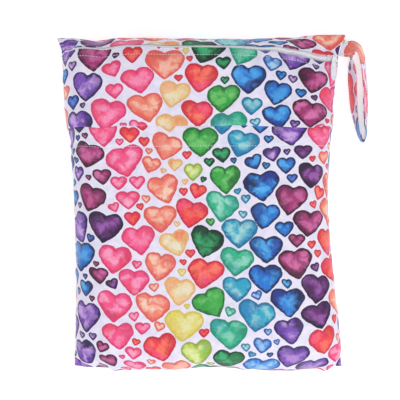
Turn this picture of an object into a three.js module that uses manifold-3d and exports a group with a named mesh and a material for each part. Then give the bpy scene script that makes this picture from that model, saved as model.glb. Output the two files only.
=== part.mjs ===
// A zippered wet bag for cloth diapers, stuffed and lying on its back, with its strap loop beside it.
// Millimetres. The back lies on z = 0, +Y runs to the bag's top edge and +X to the side with the strap.
// The cloth is described on the flat bag by two distances: a from the left seam, b from the top seam.
import * as THREE from "three";
import { mergeVertices } from "three/addons/utils/BufferGeometryUtils.js";
import Module from "manifold-3d";

const wasm = await Module();
wasm.setup();

// The flat bag
const bagWidth = 300;
const bagHeight = 390;
const clothWall = 1.2;
const pieceGap = 0.3;

// The stuffed bag
const bagThickness = 68;
const seamHeight = 28; // of the side seams over the floor
const cornerDrop = 9; // the corners hang this much below the seams
const edgeRound = 36; // radius of the cloth's turn from a seam to the front
const backRound = 30; // the same for the back, which lies flat beyond it
const crownFall = 12; // the front falls this much from its middle to an edge
const swell = 0.9; // soft unevenness of what is inside
const swellPitch = 118;
const rippleHeight = 1.8; // the seams' puckers
const ripplePitch = 52;
const rippleReach = 16;
const seamTurn = 0.5; // share of an end's turn that the side seams follow
// The top corner on the strap's side is filled loosely, so the cloth there turns later.
const slackAcross = 0.42; // share of bagWidth, from the right seam
const slackFull = 0.2; // share of bagHeight, from the top seam, that is as loose as the corner
const slackEnd = 0.45; // where it ends

// The top zip
const zipLine = 29; // top seam to the middle of the zip
const zipSkew = 2; // the zip lies this much lower at its right end than at its left
const zipSlot = 6; // between the two cloth edges
const tapeReach = 9; // of the tape under each cloth edge
const tapeWall = 0.8;
const tapeInset = 6; // from the side seams
const coilWidth = 5.2;
const coilHeight = 1.5;
const coilInset = 9;

// The pocket across the front, closed by a second zip that the upper panel laps over
const lapEdge = 114; // top seam to the upper panel's lower edge
const lapCover = 11; // the pocket cloth runs up under the lap
const lapRamp = 16; // over which the upper panel rises onto the pocket
const gapeAt = 262; // where the lap's edge stands open a little
const gapeWidth = 13;
const gapeLift = 2.4;
const hiddenZipReach = 9;
const hiddenCoilWidth = 5;
const hiddenCoilHeight = 1.0;

// The slider and its pull
const sliderFromSeam = 18;
const sliderLength = 10.4;
const sliderWidth = 8.6;
const sliderTail = 6.2;
const sliderPlate = 1.3;
const crownSpan = 5.6; // clear length under the crown
const crownRise = 2.3; // clear height under the crown
const crownBar = 1.1;
const eyeClearance = 0.37; // between the bar's corners and the pull's eye
const eyeWall = 0.85;
const pullWidth = 7;
const pullNeck = 4.4;
const pullLength = 24;
const pullPlate = 1.2;
const shoulderAt = 0.55; // share of the slider's half length at which it reaches its full width
const mouthShare = 0.7; // width of the slider's front end, as a share of sliderTail
const neckEnd = 0.15; // shares of pullLength at which the pull starts to widen, turns and is full
const neckTurn = 0.3;
const neckFull = 0.39;

// The strap loop: a folded band of the same cloth
const strapWidth = 18;
const strapWall = 2;
const strapReach = 105; // from the seam to the loop's end
const strapFloorGap = 0.4;
const strapRoot = 0.03; // share of the way down the side seam at which both its ends are caught

// Facets of the cloth, the zips and the strap
const columnCount = 28;
const columnCloseness = 0.3; // the columns lie this much closer at the side seams
const stripRows = 2;
const upperRows = 3;
const pocketRows = 22;
const coilRows = 4;
const coilCloseness = 0.5;
const strapSteps = 64;
const directionStep = 0.25; // to each side of a place whose directions are measured

// Finishes
const knit = { color: 0xe9e3f2, roughness: 0.6, metalness: 0 };
const wovenTape = { color: 0xe4e6f0, roughness: 0.75, metalness: 0 };
const nylon = { color: 0xe4e6f0, roughness: 0.45, metalness: 0 };
const lacqueredZinc = { color: 0xe4e6f0, roughness: 0.35, metalness: 0 };

// The bag's outline from above, as shares of bagWidth and bagHeight, from the top edge down
const sideOutline = [
  { down: 0.0, left: -0.503, right: 0.5 },
  { down: 0.04, left: -0.487, right: 0.478 },
  { down: 0.09, left: -0.481, right: 0.469 },
  { down: 0.2, left: -0.475, right: 0.456 },
  { down: 0.32, left: -0.457, right: 0.446 },
  { down: 0.45, left: -0.449, right: 0.438 },
  { down: 0.6, left: -0.44, right: 0.442 },
  { down: 0.75, left: -0.436, right: 0.458 },
  { down: 0.88, left: -0.437, right: 0.473 },
  { down: 1.0, left: -0.443, right: 0.484 },
];

// The same for the ends, from the left edge to the right
const endOutline = [
  { across: 0.0, top: 0.4405, bottom: -0.433 },
  { across: 0.06, top: 0.439, bottom: -0.437 },
  { across: 0.14, top: 0.432, bottom: -0.44 },
  { across: 0.2, top: 0.438, bottom: -0.443 },
  { across: 0.35, top: 0.4385, bottom: -0.443 },
  { across: 0.52, top: 0.438, bottom: -0.4395 },
  { across: 0.66, top: 0.4393, bottom: -0.4425 },
  { across: 0.8, top: 0.4455, bottom: -0.444 },
  { across: 0.92, top: 0.448, bottom: -0.4385 },
  { across: 1.0, top: 0.449, bottom: -0.4345 },
];

// Creases of the front: middle, direction (degrees from the across direction towards the top),
// and half length as shares of bagWidth and bagHeight; width and depth as shares of edgeRound.
const creases = [
  { across: 0.1, down: 0.66, turn: -38, reach: 0.07, width: 0.22, depth: 0.11 },
  { across: 0.12, down: 0.835, turn: -34, reach: 0.07, width: 0.22, depth: 0.13 },
  { across: 0.22, down: 0.9, turn: -45, reach: 0.04, width: 0.2, depth: 0.06 },
  { across: 0.895, down: 0.62, turn: 88, reach: 0.2, width: 0.24, depth: 0.12 },
  { across: 0.91, down: 0.5, turn: 57, reach: 0.07, width: 0.2, depth: 0.1 },
  { across: 0.16, down: 0.035, turn: 70, reach: 0.05, width: 0.26, depth: 0.13 },
  { across: 0.36, down: 0.03, turn: 85, reach: 0.04, width: 0.24, depth: 0.08 },
  { across: 0.62, down: 0.03, turn: 100, reach: 0.05, width: 0.26, depth: 0.09 },
  { across: 0.07, down: 0.94, turn: 48, reach: 0.07, width: 0.22, depth: 0.12 },
  { across: 0.93, down: 0.93, turn: -50, reach: 0.08, width: 0.22, depth: 0.12 },
  { across: 0.5, down: 0.955, turn: 12, reach: 0.1, width: 0.2, depth: 0.07 },
  { across: 0.07, down: 0.3, turn: 20, reach: 0.05, width: 0.2, depth: 0.08 },
];

// The strap's middle line from its upper end at the seam, down one leg, round the end and back.
// x and y are shares of strapReach from the strap's root, lean is the band's tilt off upright in
// degrees, its upper edge towards the inside of the loop, and lift is its height off the floor as
// a share of seamHeight.
const strapPath = [
  { x: 0.0, y: 0.0, lean: 46, lift: 0.52 },
  { x: 0.045, y: -0.045, lean: 34, lift: 0.38 },
  { x: 0.078, y: -0.13, lean: 10, lift: 0.14 },
  { x: 0.093, y: -0.21, lean: 20, lift: 0.02 },
  { x: 0.1, y: -0.3, lean: 25, lift: 0.0 },
  { x: 0.101, y: -0.42, lean: 26, lift: 0.0 },
  { x: 0.108, y: -0.54, lean: 21, lift: 0.0 },
  { x: 0.119, y: -0.66, lean: 15, lift: 0.0 },
  { x: 0.142, y: -0.79, lean: 10, lift: 0.0 },
  { x: 0.168, y: -0.9, lean: 5, lift: 0.0 },
  { x: 0.202, y: -0.966, lean: 0, lift: 0.0 },
  { x: 0.23, y: -0.9, lean: 5, lift: 0.0 },
  { x: 0.232, y: -0.79, lean: 9, lift: 0.0 },
  { x: 0.23, y: -0.66, lean: 12, lift: 0.0 },
  { x: 0.227, y: -0.54, lean: 13, lift: 0.0 },
  { x: 0.224, y: -0.42, lean: 12, lift: 0.0 },
  { x: 0.218, y: -0.3, lean: 13, lift: 0.0 },
  { x: 0.2, y: -0.19, lean: 24, lift: 0.02 },
  { x: 0.168, y: -0.085, lean: 32, lift: 0.1 },
  { x: 0.125, y: -0.018, lean: 12, lift: 0.2 },
  { x: 0.078, y: 0.018, lean: -24, lift: 0.3 },
  { x: 0.03, y: 0.036, lean: -44, lift: 0.38 },
];

const clamp01 = (x) => Math.min(1, Math.max(0, x));
const mix = (p, q, share) => p + (q - p) * share;
const smooth = (x) => clamp01(x) ** 2 * (3 - 2 * clamp01(x));

// A smooth curve through a table's rows: cubic, with each row's slope taken from its neighbours.
function through(rows, key, value) {
  const slope = (i) => {
    const before = rows[Math.max(0, i - 1)];
    const after = rows[Math.min(rows.length - 1, i + 1)];
    return (after[value] - before[value]) / (after[key] - before[key]);
  };
  return (at) => {
    let i = 0;
    while (i < rows.length - 2 && at > rows[i + 1][key]) i += 1;
    const step = rows[i + 1][key] - rows[i][key];
    const s = clamp01((at - rows[i][key]) / step);
    return (
      mix(rows[i][value], rows[i + 1][value], s * s * (3 - 2 * s)) +
      step * s * (1 - s) * ((1 - s) * slope(i) - s * slope(i + 1))
    );
  };
}

const outline = {
  left: through(sideOutline, "down", "left"),
  right: through(sideOutline, "down", "right"),
  top: through(endOutline, "across", "top"),
  bottom: through(endOutline, "across", "bottom"),
};

// Rise, 0 to 1, and run, in mm, of cloth that turns off a seam on an arc of this radius.
const arcRise = (distance, radius) => Math.sin(Math.min(distance / radius, Math.PI / 2));
function arcRun(distance, radius) {
  return distance < (radius * Math.PI) / 2
    ? radius * (1 - Math.cos(distance / radius))
    : distance - radius * (Math.PI / 2 - 1);
}

// Share of the way across a stretch of cloth with both its ends turned on the edge's arc.
function turnedShare(distance, size) {
  const share = arcRun(Math.min(distance, size - distance), edgeRound) / (2 * arcRun(size / 2, edgeRound));
  return distance < size / 2 ? share : 1 - share;
}

// The sum of the front's creases at a place on the cloth, in mm.
function creaseDepth(a, b) {
  return creases.reduce((depth, row) => {
    const turn = THREE.MathUtils.degToRad(row.turn);
    const x = a - row.across * bagWidth;
    const y = row.down * bagHeight - b;
    const along = (x * Math.cos(turn) + y * Math.sin(turn)) / (row.reach * bagHeight);
    const off = (y * Math.cos(turn) - x * Math.sin(turn)) / (row.width * edgeRound);
    return depth + row.depth * edgeRound * Math.exp(-off * off - along ** 4);
  }, 0);
}

// The cloth's inner face, which is what the front and the back share at the seams.
function innerFace(a, bFlat, front) {
  const nearZip = Math.min(bFlat / zipLine, (lapEdge - bFlat) / (lapEdge - zipLine));
  const b = bFlat + zipSkew * (a / bagWidth - 0.5) * clamp01(nearZip);
  const sideways = Math.min(a, bagWidth - a);
  const endways = Math.min(b, bagHeight - b);

  const slackSide = smooth(1 - (bagWidth - a) / (slackAcross * bagWidth));
  const slack = slackSide * smooth((slackEnd - b / bagHeight) / (slackEnd - slackFull));
  const endTurn = mix(seamTurn, 1, arcRise(sideways, edgeRound)) * (1 - slack);

  const across = mix(a / bagWidth, turnedShare(a, bagWidth), arcRise(endways, edgeRound));
  const down = mix(b / bagHeight, turnedShare(b, bagHeight), endTurn);
  const left = bagWidth * outline.left(down) + clothWall;
  const right = bagWidth * outline.right(down) - clothWall;
  const top = bagHeight * outline.top(across) - clothWall;
  const bottom = bagHeight * outline.bottom(across) + clothWall;

  const sideEdge = Math.exp(-sideways / rippleReach);
  const endEdge = Math.exp(-endways / rippleReach);
  const ripple =
    Math.sin((2 * Math.PI * b) / ripplePitch) * sideEdge * (1 - endEdge) +
    Math.sin((2 * Math.PI * a) / ripplePitch) * endEdge * (1 - sideEdge);
  const corner = (1 - arcRise(sideways, 2 * edgeRound)) * (1 - arcRise(endways, 2 * edgeRound));
  const seam = seamHeight - cornerDrop * corner + rippleHeight * ripple;

  const round = front ? edgeRound : backRound;
  const rise = arcRise(sideways, round) * arcRise(endways, front ? round * (1 + slack) : round);
  let height = clothWall;
  if (front) {
    const offMiddle = (2 * a / bagWidth - 1) ** 2 + (2 * b / bagHeight - 1) ** 2;
    const swellTurn = (2 * Math.PI) / swellPitch;
    const uneven = swell * Math.sin(swellTurn * a) * Math.cos(swellTurn * b);
    height = bagThickness - clothWall - swell - (crownFall * offMiddle) / 2 + uneven - creaseDepth(a, b);
  }
  const clear = front ? pieceGap / 2 : -pieceGap / 2;
  return new THREE.Vector3(
    mix(left, right, across),
    mix(top, bottom, down),
    mix(seam + clear, height, rise),
  );
}

// A point of the cloth at a height over its inner face, outwards.
function clothPoint(a, b, height, front) {
  const { origin, outward } = clothFrame(a, b, front);
  return origin.addScaledVector(outward, height);
}

// The inner face's place, its direction along +a and the way out of the bag.
function clothFrame(a, b, front) {
  const step = directionStep;
  const origin = innerFace(a, b, front);
  const alongA = innerFace(Math.min(a + step, bagWidth), b, front);
  alongA.sub(innerFace(Math.max(a - step, 0), b, front)).normalize();
  const up = innerFace(a, Math.max(b - step, 0), front);
  up.sub(innerFace(a, Math.min(b + step, bagHeight), front)).normalize();
  const outward = new THREE.Vector3().crossVectors(alongA, up).normalize();
  if (!front) outward.negate();
  const onSeam = a === 0 || b === 0 || a === bagWidth || b === bagHeight;
  if (onSeam && outward.z * (front ? 1 : -1) < 0) outward.setZ(0).normalize();
  return { origin, alongA, outward };
}

// Stations from start to end, closer together near the ends by the share given.
function stations(start, end, count, closeness = 0) {
  return Array.from({ length: count + 1 }, (_, i) => {
    const s = i / count;
    return mix(start, end, s - (closeness * Math.sin(2 * Math.PI * s)) / (2 * Math.PI));
  });
}

// Every panel and zip takes its columns and rows from these, so that what lies on a neighbour or
// meets it at a seam has the same facets.
const columns = [0, ...stations(tapeInset, bagWidth - tapeInset, columnCount, columnCloseness), bagWidth];
const stripEdge = zipLine - zipSlot / 2;
const upperEdge = zipLine + zipSlot / 2;
const pocketTop = lapEdge - lapCover;
const hiddenCoilEnd = pocketTop - pieceGap;
const hiddenCoilStart = hiddenCoilEnd - hiddenCoilWidth;
const rows = [
  ...stations(0, stripEdge - tapeReach, stripRows),
  stripEdge,
  upperEdge,
  ...stations(upperEdge + tapeReach, hiddenCoilStart - hiddenZipReach, upperRows),
  hiddenCoilStart,
  pocketTop,
  hiddenCoilEnd + hiddenZipReach,
  ...stations(lapEdge, bagHeight, pocketRows),
];

const between = (list, start, end) => [start, ...list.filter((x) => x > start && x < end), end];

// A closed wall over a grid of the cloth, between two heights, each a function of a and b.
function wall(as, bs, lower, upper, front) {
  const perSide = as.length * bs.length;
  const points = [lower, upper].flatMap((height) =>
    bs.flatMap((b) => as.map((a) => clothPoint(a, b, height(a, b), front))),
  );
  const at = (i, j, side) => side * perSide + j * as.length + i;
  const triangles = [];
  const quad = (p, q, r, s) => triangles.push(p, q, r, p, r, s);
  for (let j = 0; j < bs.length - 1; j += 1) {
    for (let i = 0; i < as.length - 1; i += 1) {
      quad(at(i, j, 1), at(i, j + 1, 1), at(i + 1, j + 1, 1), at(i + 1, j, 1));
      quad(at(i, j, 0), at(i + 1, j, 0), at(i + 1, j + 1, 0), at(i, j + 1, 0));
    }
  }
  const lastA = as.length - 1;
  const lastB = bs.length - 1;
  for (let i = 0; i < lastA; i += 1) {
    quad(at(i, 0, 0), at(i, 0, 1), at(i + 1, 0, 1), at(i + 1, 0, 0));
    quad(at(i, lastB, 0), at(i + 1, lastB, 0), at(i + 1, lastB, 1), at(i, lastB, 1));
  }
  for (let j = 0; j < lastB; j += 1) {
    quad(at(0, j, 0), at(0, j + 1, 0), at(0, j + 1, 1), at(0, j, 1));
    quad(at(lastA, j, 0), at(lastA, j, 1), at(lastA, j + 1, 1), at(lastA, j + 1, 0));
  }
  if (!front) triangles.reverse();
  return geometryOf(points, triangles);
}

function geometryOf(points, triangles) {
  const geometry = new THREE.BufferGeometry().setFromPoints(points);
  geometry.setIndex(triangles);
  geometry.computeVertexNormals();
  return geometry;
}

// Between three.js geometry and a solid that can be joined and cut
function solidOf(geometry) {
  const bare = geometry.index ? geometry.toNonIndexed() : geometry.clone();
  bare.deleteAttribute("normal");
  bare.deleteAttribute("uv");
  const samePoint = 1e-4;
  const merged = mergeVertices(bare, samePoint);
  return new wasm.Manifold(
    new wasm.Mesh({
      numProp: 3,
      vertProperties: merged.attributes.position.array,
      triVerts: new Uint32Array(merged.index.array),
    }),
  );
}

function geometryFrom(solid) {
  const mesh = solid.getMesh();
  const geometry = new THREE.BufferGeometry();
  geometry.setAttribute("position", new THREE.BufferAttribute(mesh.vertProperties, 3));
  geometry.setIndex(new THREE.BufferAttribute(mesh.triVerts, 1));
  geometry.computeVertexNormals();
  return geometry;
}

function piece(name, geometry, finish) {
  const mesh = new THREE.Mesh(geometry, new THREE.MeshStandardMaterial(finish));
  mesh.name = name;
  return mesh;
}

const bag = new THREE.Group();
const flat = (height) => () => height;

// Panels of the bag
function addPanels() {
  const overPocket = clothWall + pieceGap;
  const lift = (a, b) => {
    const rampShare = smooth((b - (pocketTop - hiddenCoilWidth - lapRamp)) / lapRamp);
    const gape = Math.exp(-(((a - gapeAt) / gapeWidth) ** 2)) * smooth((b - pocketTop) / lapCover);
    return overPocket * rampShare + gapeLift * gape;
  };
  const lifted = (a, b) => lift(a, b) + clothWall;
  const inside = flat(0);
  const outside = flat(clothWall);
  const panels = [
    { name: "back_panel", from: 0, to: bagHeight, lower: inside, upper: outside, front: false },
    { name: "top_strip", from: 0, to: stripEdge, lower: inside, upper: outside, front: true },
    { name: "upper_panel", from: upperEdge, to: lapEdge, lower: lift, upper: lifted, front: true },
    { name: "pocket_panel", from: pocketTop, to: bagHeight, lower: inside, upper: outside, front: true },
  ];
  for (const { name, from, to, lower, upper, front } of panels) {
    bag.add(piece(name, wall(columns, between(rows, from, to), lower, upper, front), knit));
  }
}

// Tapes and coil of the top zip, and the plain zip behind the lap
function addZips() {
  const tapeColumns = between(columns, tapeInset, bagWidth - tapeInset);
  const coilColumns = between(columns, coilInset, bagWidth - coilInset);
  const under = flat(-pieceGap - tapeWall);
  const over = flat(-pieceGap);
  const halves = [
    { name: "zip_tape_upper", rows: [stripEdge - tapeReach, stripEdge, zipLine - pieceGap / 2] },
    { name: "zip_tape_lower", rows: [zipLine + pieceGap / 2, upperEdge, upperEdge + tapeReach] },
  ];
  for (const half of halves) {
    bag.add(piece(half.name, wall(tapeColumns, half.rows, under, over, true), wovenTape));
  }

  const coilBands = stations(zipLine - coilWidth / 2, zipLine + coilWidth / 2, coilRows, coilCloseness);
  const domed = (a, b) => {
    const off = (b - zipLine) / (coilWidth / 2);
    return pieceGap + (coilHeight - pieceGap) * Math.sqrt(Math.max(0, 1 - off * off));
  };
  bag.add(piece("zip_coil", wall(coilColumns, coilBands, flat(0), domed, true), nylon));

  const hiddenRows = [
    hiddenCoilStart - hiddenZipReach,
    hiddenCoilStart,
    hiddenCoilStart + pieceGap,
    hiddenCoilEnd - pieceGap,
    hiddenCoilEnd,
    hiddenCoilEnd + hiddenZipReach,
  ];
  const onCoil = (b) => b > hiddenCoilStart && b < hiddenCoilEnd;
  const ridge = (a, b) => (onCoil(b) ? hiddenCoilHeight - pieceGap : -pieceGap);
  bag.add(piece("pocket_zip", wall(tapeColumns, hiddenRows, under, ridge, true), wovenTape));
}

// The slider's frame on the cloth: x along the zip, y up the bag, z off the cloth
const sliderPlace = clothFrame(bagWidth - sliderFromSeam, zipLine, true);
const squareUp = new THREE.Vector3().crossVectors(sliderPlace.outward, sliderPlace.alongA).normalize();
const sliderBase = coilHeight + pieceGap;
const barMiddle = sliderBase + sliderPlate + crownRise + crownBar / 2;

const stamped = (shape, depth, curveSegments) =>
  new THREE.ExtrudeGeometry(shape, { depth, bevelEnabled: false, curveSegments });

function onSlider(mesh) {
  const { origin, alongA, outward } = sliderPlace;
  const holder = new THREE.Group();
  holder.position.copy(origin);
  holder.quaternion.setFromRotationMatrix(new THREE.Matrix4().makeBasis(alongA, squareUp, outward));
  holder.add(mesh);
  bag.add(holder);
}

// The slider: a shouldered plate with the crown that carries the pull
function addSlider() {
  const halfTail = sliderTail / 2;
  const halfWide = sliderWidth / 2;
  const halfLong = sliderLength / 2;
  const outlinePlate = new THREE.Shape();
  outlinePlate.moveTo(-halfLong, -halfTail);
  outlinePlate.lineTo(0, -halfTail);
  outlinePlate.lineTo(halfLong * shoulderAt, -halfWide);
  outlinePlate.quadraticCurveTo(halfLong, -halfWide, halfLong, -halfTail * mouthShare);
  outlinePlate.lineTo(halfLong, halfTail * mouthShare);
  outlinePlate.quadraticCurveTo(halfLong, halfWide, halfLong * shoulderAt, halfWide);
  outlinePlate.lineTo(0, halfTail);
  outlinePlate.lineTo(-halfLong, halfTail);
  outlinePlate.closePath();
  const plate = stamped(outlinePlate, sliderPlate, 4);
  plate.translate(0, 0, sliderBase);

  const legFoot = sliderBase + sliderPlate / 2;
  const crownTop = barMiddle + crownBar / 2;
  const halfCrown = crownSpan / 2 + crownBar;
  const crownShape = new THREE.Shape();
  crownShape.moveTo(-halfCrown, legFoot);
  crownShape.lineTo(-crownSpan / 2, legFoot);
  crownShape.lineTo(-crownSpan / 2, crownTop - crownBar);
  crownShape.lineTo(crownSpan / 2, crownTop - crownBar);
  crownShape.lineTo(crownSpan / 2, legFoot);
  crownShape.lineTo(halfCrown, legFoot);
  crownShape.lineTo(halfCrown, crownTop - crownBar);
  crownShape.quadraticCurveTo(halfCrown, crownTop, crownSpan / 2, crownTop);
  crownShape.lineTo(-crownSpan / 2, crownTop);
  crownShape.quadraticCurveTo(-halfCrown, crownTop, -halfCrown, crownTop - crownBar);
  crownShape.closePath();
  const crown = stamped(crownShape, crownBar, 3);
  crown.translate(0, 0, -crownBar / 2);
  crown.rotateX(Math.PI / 2);
  onSlider(piece("zip_slider", geometryFrom(solidOf(plate).add(solidOf(crown))), lacqueredZinc));
}

// How far the pull can tip below level, down the bag or up it, before it meets the slider or the cloth
function tipOfPull(upOrDown) {
  const clear = pullPlate / 2 + pieceGap;
  const { origin, outward } = sliderPlace;
  const spots = [{ below: barMiddle - sliderBase - sliderPlate, beyond: sliderWidth / 2 }];
  for (let reach = pullLength / 4; reach <= pullLength; reach += 1) {
    for (const side of [-0.5, 0, 0.5]) {
      const a = bagWidth - sliderFromSeam + side * pullWidth;
      const spot = clothPoint(a, Math.max(0, zipLine - upOrDown * reach), clothWall, true).sub(origin);
      spots.push({ below: barMiddle - spot.dot(outward), beyond: upOrDown * spot.dot(squareUp) });
    }
  }
  const tips = spots.map(
    ({ below, beyond }) => Math.atan2(below, beyond) - Math.asin(clear / Math.hypot(below, beyond)),
  );
  return Math.min(...tips);
}

// The pull: a tab with an eye round the crown's bar
function addPull() {
  const eyeBore = (crownBar / 2) * Math.SQRT2 + eyeClearance;
  const eyeOuter = eyeBore + eyeWall;
  const tab = new THREE.Shape();
  const [narrow, turn, full] = [neckEnd, neckTurn, neckFull].map((share) => -pullLength * share);
  const tip = -pullLength + pullWidth / 2;
  tab.moveTo(-pullNeck / 2, -eyeBore);
  tab.lineTo(-pullNeck / 2, narrow);
  tab.quadraticCurveTo(-pullNeck / 2, turn, -pullWidth / 2, full);
  tab.lineTo(-pullWidth / 2, tip);
  tab.absarc(0, tip, pullWidth / 2, Math.PI, 2 * Math.PI, false);
  tab.lineTo(pullWidth / 2, full);
  tab.quadraticCurveTo(pullNeck / 2, turn, pullNeck / 2, narrow);
  tab.lineTo(pullNeck / 2, -eyeBore);
  tab.closePath();
  const plate = stamped(tab, pullPlate, 8);
  plate.translate(0, 0, -pullPlate / 2);
  const roll = (radius, length) =>
    new THREE.CylinderGeometry(radius, radius, length, 16).rotateZ(Math.PI / 2);
  const solid = solidOf(plate)
    .add(solidOf(roll(eyeOuter, pullNeck)))
    .subtract(solidOf(roll(eyeBore, 2 * pullNeck)));
  const mesh = piece("zip_pull", geometryFrom(solid), lacqueredZinc);
  mesh.position.z = barMiddle;
  mesh.rotation.x = tipOfPull(-1);
  onSlider(mesh);
}

// The strap: one band, standing on its edge, both ends caught in the side seam by the top corner
function addStrap() {
  const root = new THREE.Vector2(
    bagWidth * outline.right(strapRoot) + pieceGap + strapWall / 2,
    bagHeight * mix(outline.top(1), outline.bottom(1), strapRoot),
  );
  const numbered = strapPath.map((row, i) => ({ ...row, i: i / (strapPath.length - 1) }));
  const follow = {};
  for (const key of ["x", "y", "lean", "lift"]) follow[key] = through(numbered, "i", key);
  const middle = (s) => new THREE.Vector2(follow.x(s), follow.y(s)).multiplyScalar(strapReach).add(root);
  const nearby = 1e-3;
  const points = [];
  for (let k = 0; k <= strapSteps; k += 1) {
    const s = k / strapSteps;
    const here = middle(s);
    const travel = middle(Math.min(1, s + nearby)).sub(middle(Math.max(0, s - nearby))).normalize();
    const lean = THREE.MathUtils.degToRad(follow.lean(s));
    const inward = new THREE.Vector3(-travel.y, travel.x, 0);
    const edgeways = inward.clone().multiplyScalar(Math.sin(lean)).setZ(Math.cos(lean));
    const faceways = new THREE.Vector3().crossVectors(new THREE.Vector3(travel.x, travel.y, 0), edgeways);
    const standing = (strapWidth / 2) * Math.cos(lean) + (strapWall / 2) * Math.abs(Math.sin(lean));
    const height = strapFloorGap + standing + seamHeight * Math.max(0, follow.lift(s));
    const centre = new THREE.Vector3(here.x, here.y, height);
    for (const [w, t] of [[-1, -1], [1, -1], [1, 1], [-1, 1]]) {
      const corner = centre.clone().addScaledVector(edgeways, (w * strapWidth) / 2);
      points.push(corner.addScaledVector(faceways, (t * strapWall) / 2));
    }
  }
  const triangles = [];
  for (let k = 0; k < strapSteps; k += 1) {
    for (let c = 0; c < 4; c += 1) {
      const [p, q] = [4 * k + c, 4 * k + ((c + 1) % 4)];
      triangles.push(p, q, q + 4, p, q + 4, p + 4);
    }
  }
  const last = 4 * strapSteps;
  triangles.push(0, 2, 1, 0, 3, 2, last, last + 1, last + 2, last, last + 2, last + 3);
  bag.add(piece("strap_loop", geometryOf(points, triangles), knit));
}

addPanels();
addZips();
addSlider();
addPull();
addStrap();

export default bag;
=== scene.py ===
# A zippered wet bag for cloth diapers: stuffed, lying on its back, its strap loop standing beside it.
# Cloth coordinates are millimetres on the flat bag: a from the left seam, b from the top seam.
import math
import bpy
import numpy as np
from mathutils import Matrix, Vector


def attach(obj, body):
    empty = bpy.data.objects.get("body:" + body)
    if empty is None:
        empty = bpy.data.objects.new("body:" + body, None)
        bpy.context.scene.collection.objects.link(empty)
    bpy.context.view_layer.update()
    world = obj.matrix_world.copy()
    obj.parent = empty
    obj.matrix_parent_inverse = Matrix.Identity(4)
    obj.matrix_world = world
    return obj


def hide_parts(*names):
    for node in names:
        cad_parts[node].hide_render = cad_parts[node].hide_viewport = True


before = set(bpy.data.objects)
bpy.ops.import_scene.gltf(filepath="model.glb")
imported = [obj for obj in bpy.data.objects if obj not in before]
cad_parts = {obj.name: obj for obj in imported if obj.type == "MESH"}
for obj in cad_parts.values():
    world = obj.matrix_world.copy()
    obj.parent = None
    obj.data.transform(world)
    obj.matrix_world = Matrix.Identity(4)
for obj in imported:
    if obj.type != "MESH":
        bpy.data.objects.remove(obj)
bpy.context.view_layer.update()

mm = 0.001
rng = np.random.default_rng(20)

# Driving sizes of the bag, in mm, and its shape as shares of them
bagSize = {
    "width": 300, "height": 390, "wall": 1.2, "gap": 0.3, "thickness": 68,
    "seamHeight": 28, "cornerDrop": 9, "edgeRound": 36, "backRound": 30, "crownFall": 12,
    "swell": 0.9, "swellPitch": 118, "rippleHeight": 1.8, "ripplePitch": 52, "rippleReach": 16,
    "seamTurn": 0.5, "slackAcross": 0.42, "slackFull": 0.2, "slackEnd": 0.45,
}
zipSize = {
    "line": 29, "skew": 2, "slot": 6, "tapeReach": 9, "tapeWall": 0.8, "tapeEnd": 0.8, "stitchAway": 7.5,
    "closedHalf": 1.9, "openHalf": 4.2, "openFrom": 165, "openOver": 90, "drawReach": 12, "edgeLift": 1.0,
    "liftPast": 2, "liftFade": 1.8, "coilHeight": 1.5, "coilEnd": 3.5, "toothPitch": 1.3, "toothRadius": 0.48,
    "toothReach": 2.5, "toothOverlap": 0.55, "toothLow": 0.35, "toothSway": 0.16,
}
lapSize = {
    "edge": 114, "cover": 11, "ramp": 16, "gapeAt": 262, "gapeWidth": 13, "gapeLift": 2.4,
    "coilWidth": 5, "coilHeight": 1.0, "coilFlank": 0.6, "zipReach": 9, "hemLine": 21,
    "wave": 1.1, "wavePitch": 23, "waveLift": 0.9, "liftPitch": 17, "tuckAt": 269, "tuckWidth": 5, "tuck": 3.4,
}
strapSize = {"width": 18, "wall": 2, "reach": 105, "floorGap": 0.4, "stitchInset": 2.6, "rootShare": 0.042}


def table(columns, *rows):
    return [dict(zip(columns.split(), row)) for row in rows]


sideOutline = table(
    "down left right",
    (0.0, -0.503, 0.5), (0.04, -0.487, 0.478), (0.09, -0.481, 0.469), (0.2, -0.475, 0.456),
    (0.32, -0.457, 0.446), (0.45, -0.449, 0.438), (0.6, -0.44, 0.442), (0.75, -0.436, 0.458),
    (0.88, -0.437, 0.473), (1.0, -0.443, 0.484),
)
endOutline = table(
    "across top bottom",
    (0.0, 0.4405, -0.433), (0.06, 0.439, -0.437), (0.14, 0.432, -0.44), (0.2, 0.438, -0.443),
    (0.35, 0.4385, -0.443), (0.52, 0.438, -0.4395), (0.66, 0.4393, -0.4425), (0.8, 0.4455, -0.444),
    (0.92, 0.448, -0.4385), (1.0, 0.449, -0.4345),
)
creases = table(
    "across down turn reach width depth",
    (0.1, 0.66, -38, 0.07, 0.22, 0.11), (0.12, 0.835, -34, 0.07, 0.22, 0.13),
    (0.22, 0.9, -45, 0.04, 0.2, 0.06), (0.895, 0.62, 88, 0.2, 0.24, 0.12), (0.91, 0.5, 57, 0.07, 0.2, 0.1),
    (0.16, 0.035, 70, 0.05, 0.26, 0.13), (0.36, 0.03, 85, 0.04, 0.24, 0.08),
    (0.62, 0.03, 100, 0.05, 0.26, 0.09), (0.07, 0.94, 48, 0.07, 0.22, 0.12),
    (0.93, 0.93, -50, 0.08, 0.22, 0.12), (0.5, 0.955, 12, 0.1, 0.2, 0.07), (0.07, 0.3, 20, 0.05, 0.2, 0.08),
)
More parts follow.
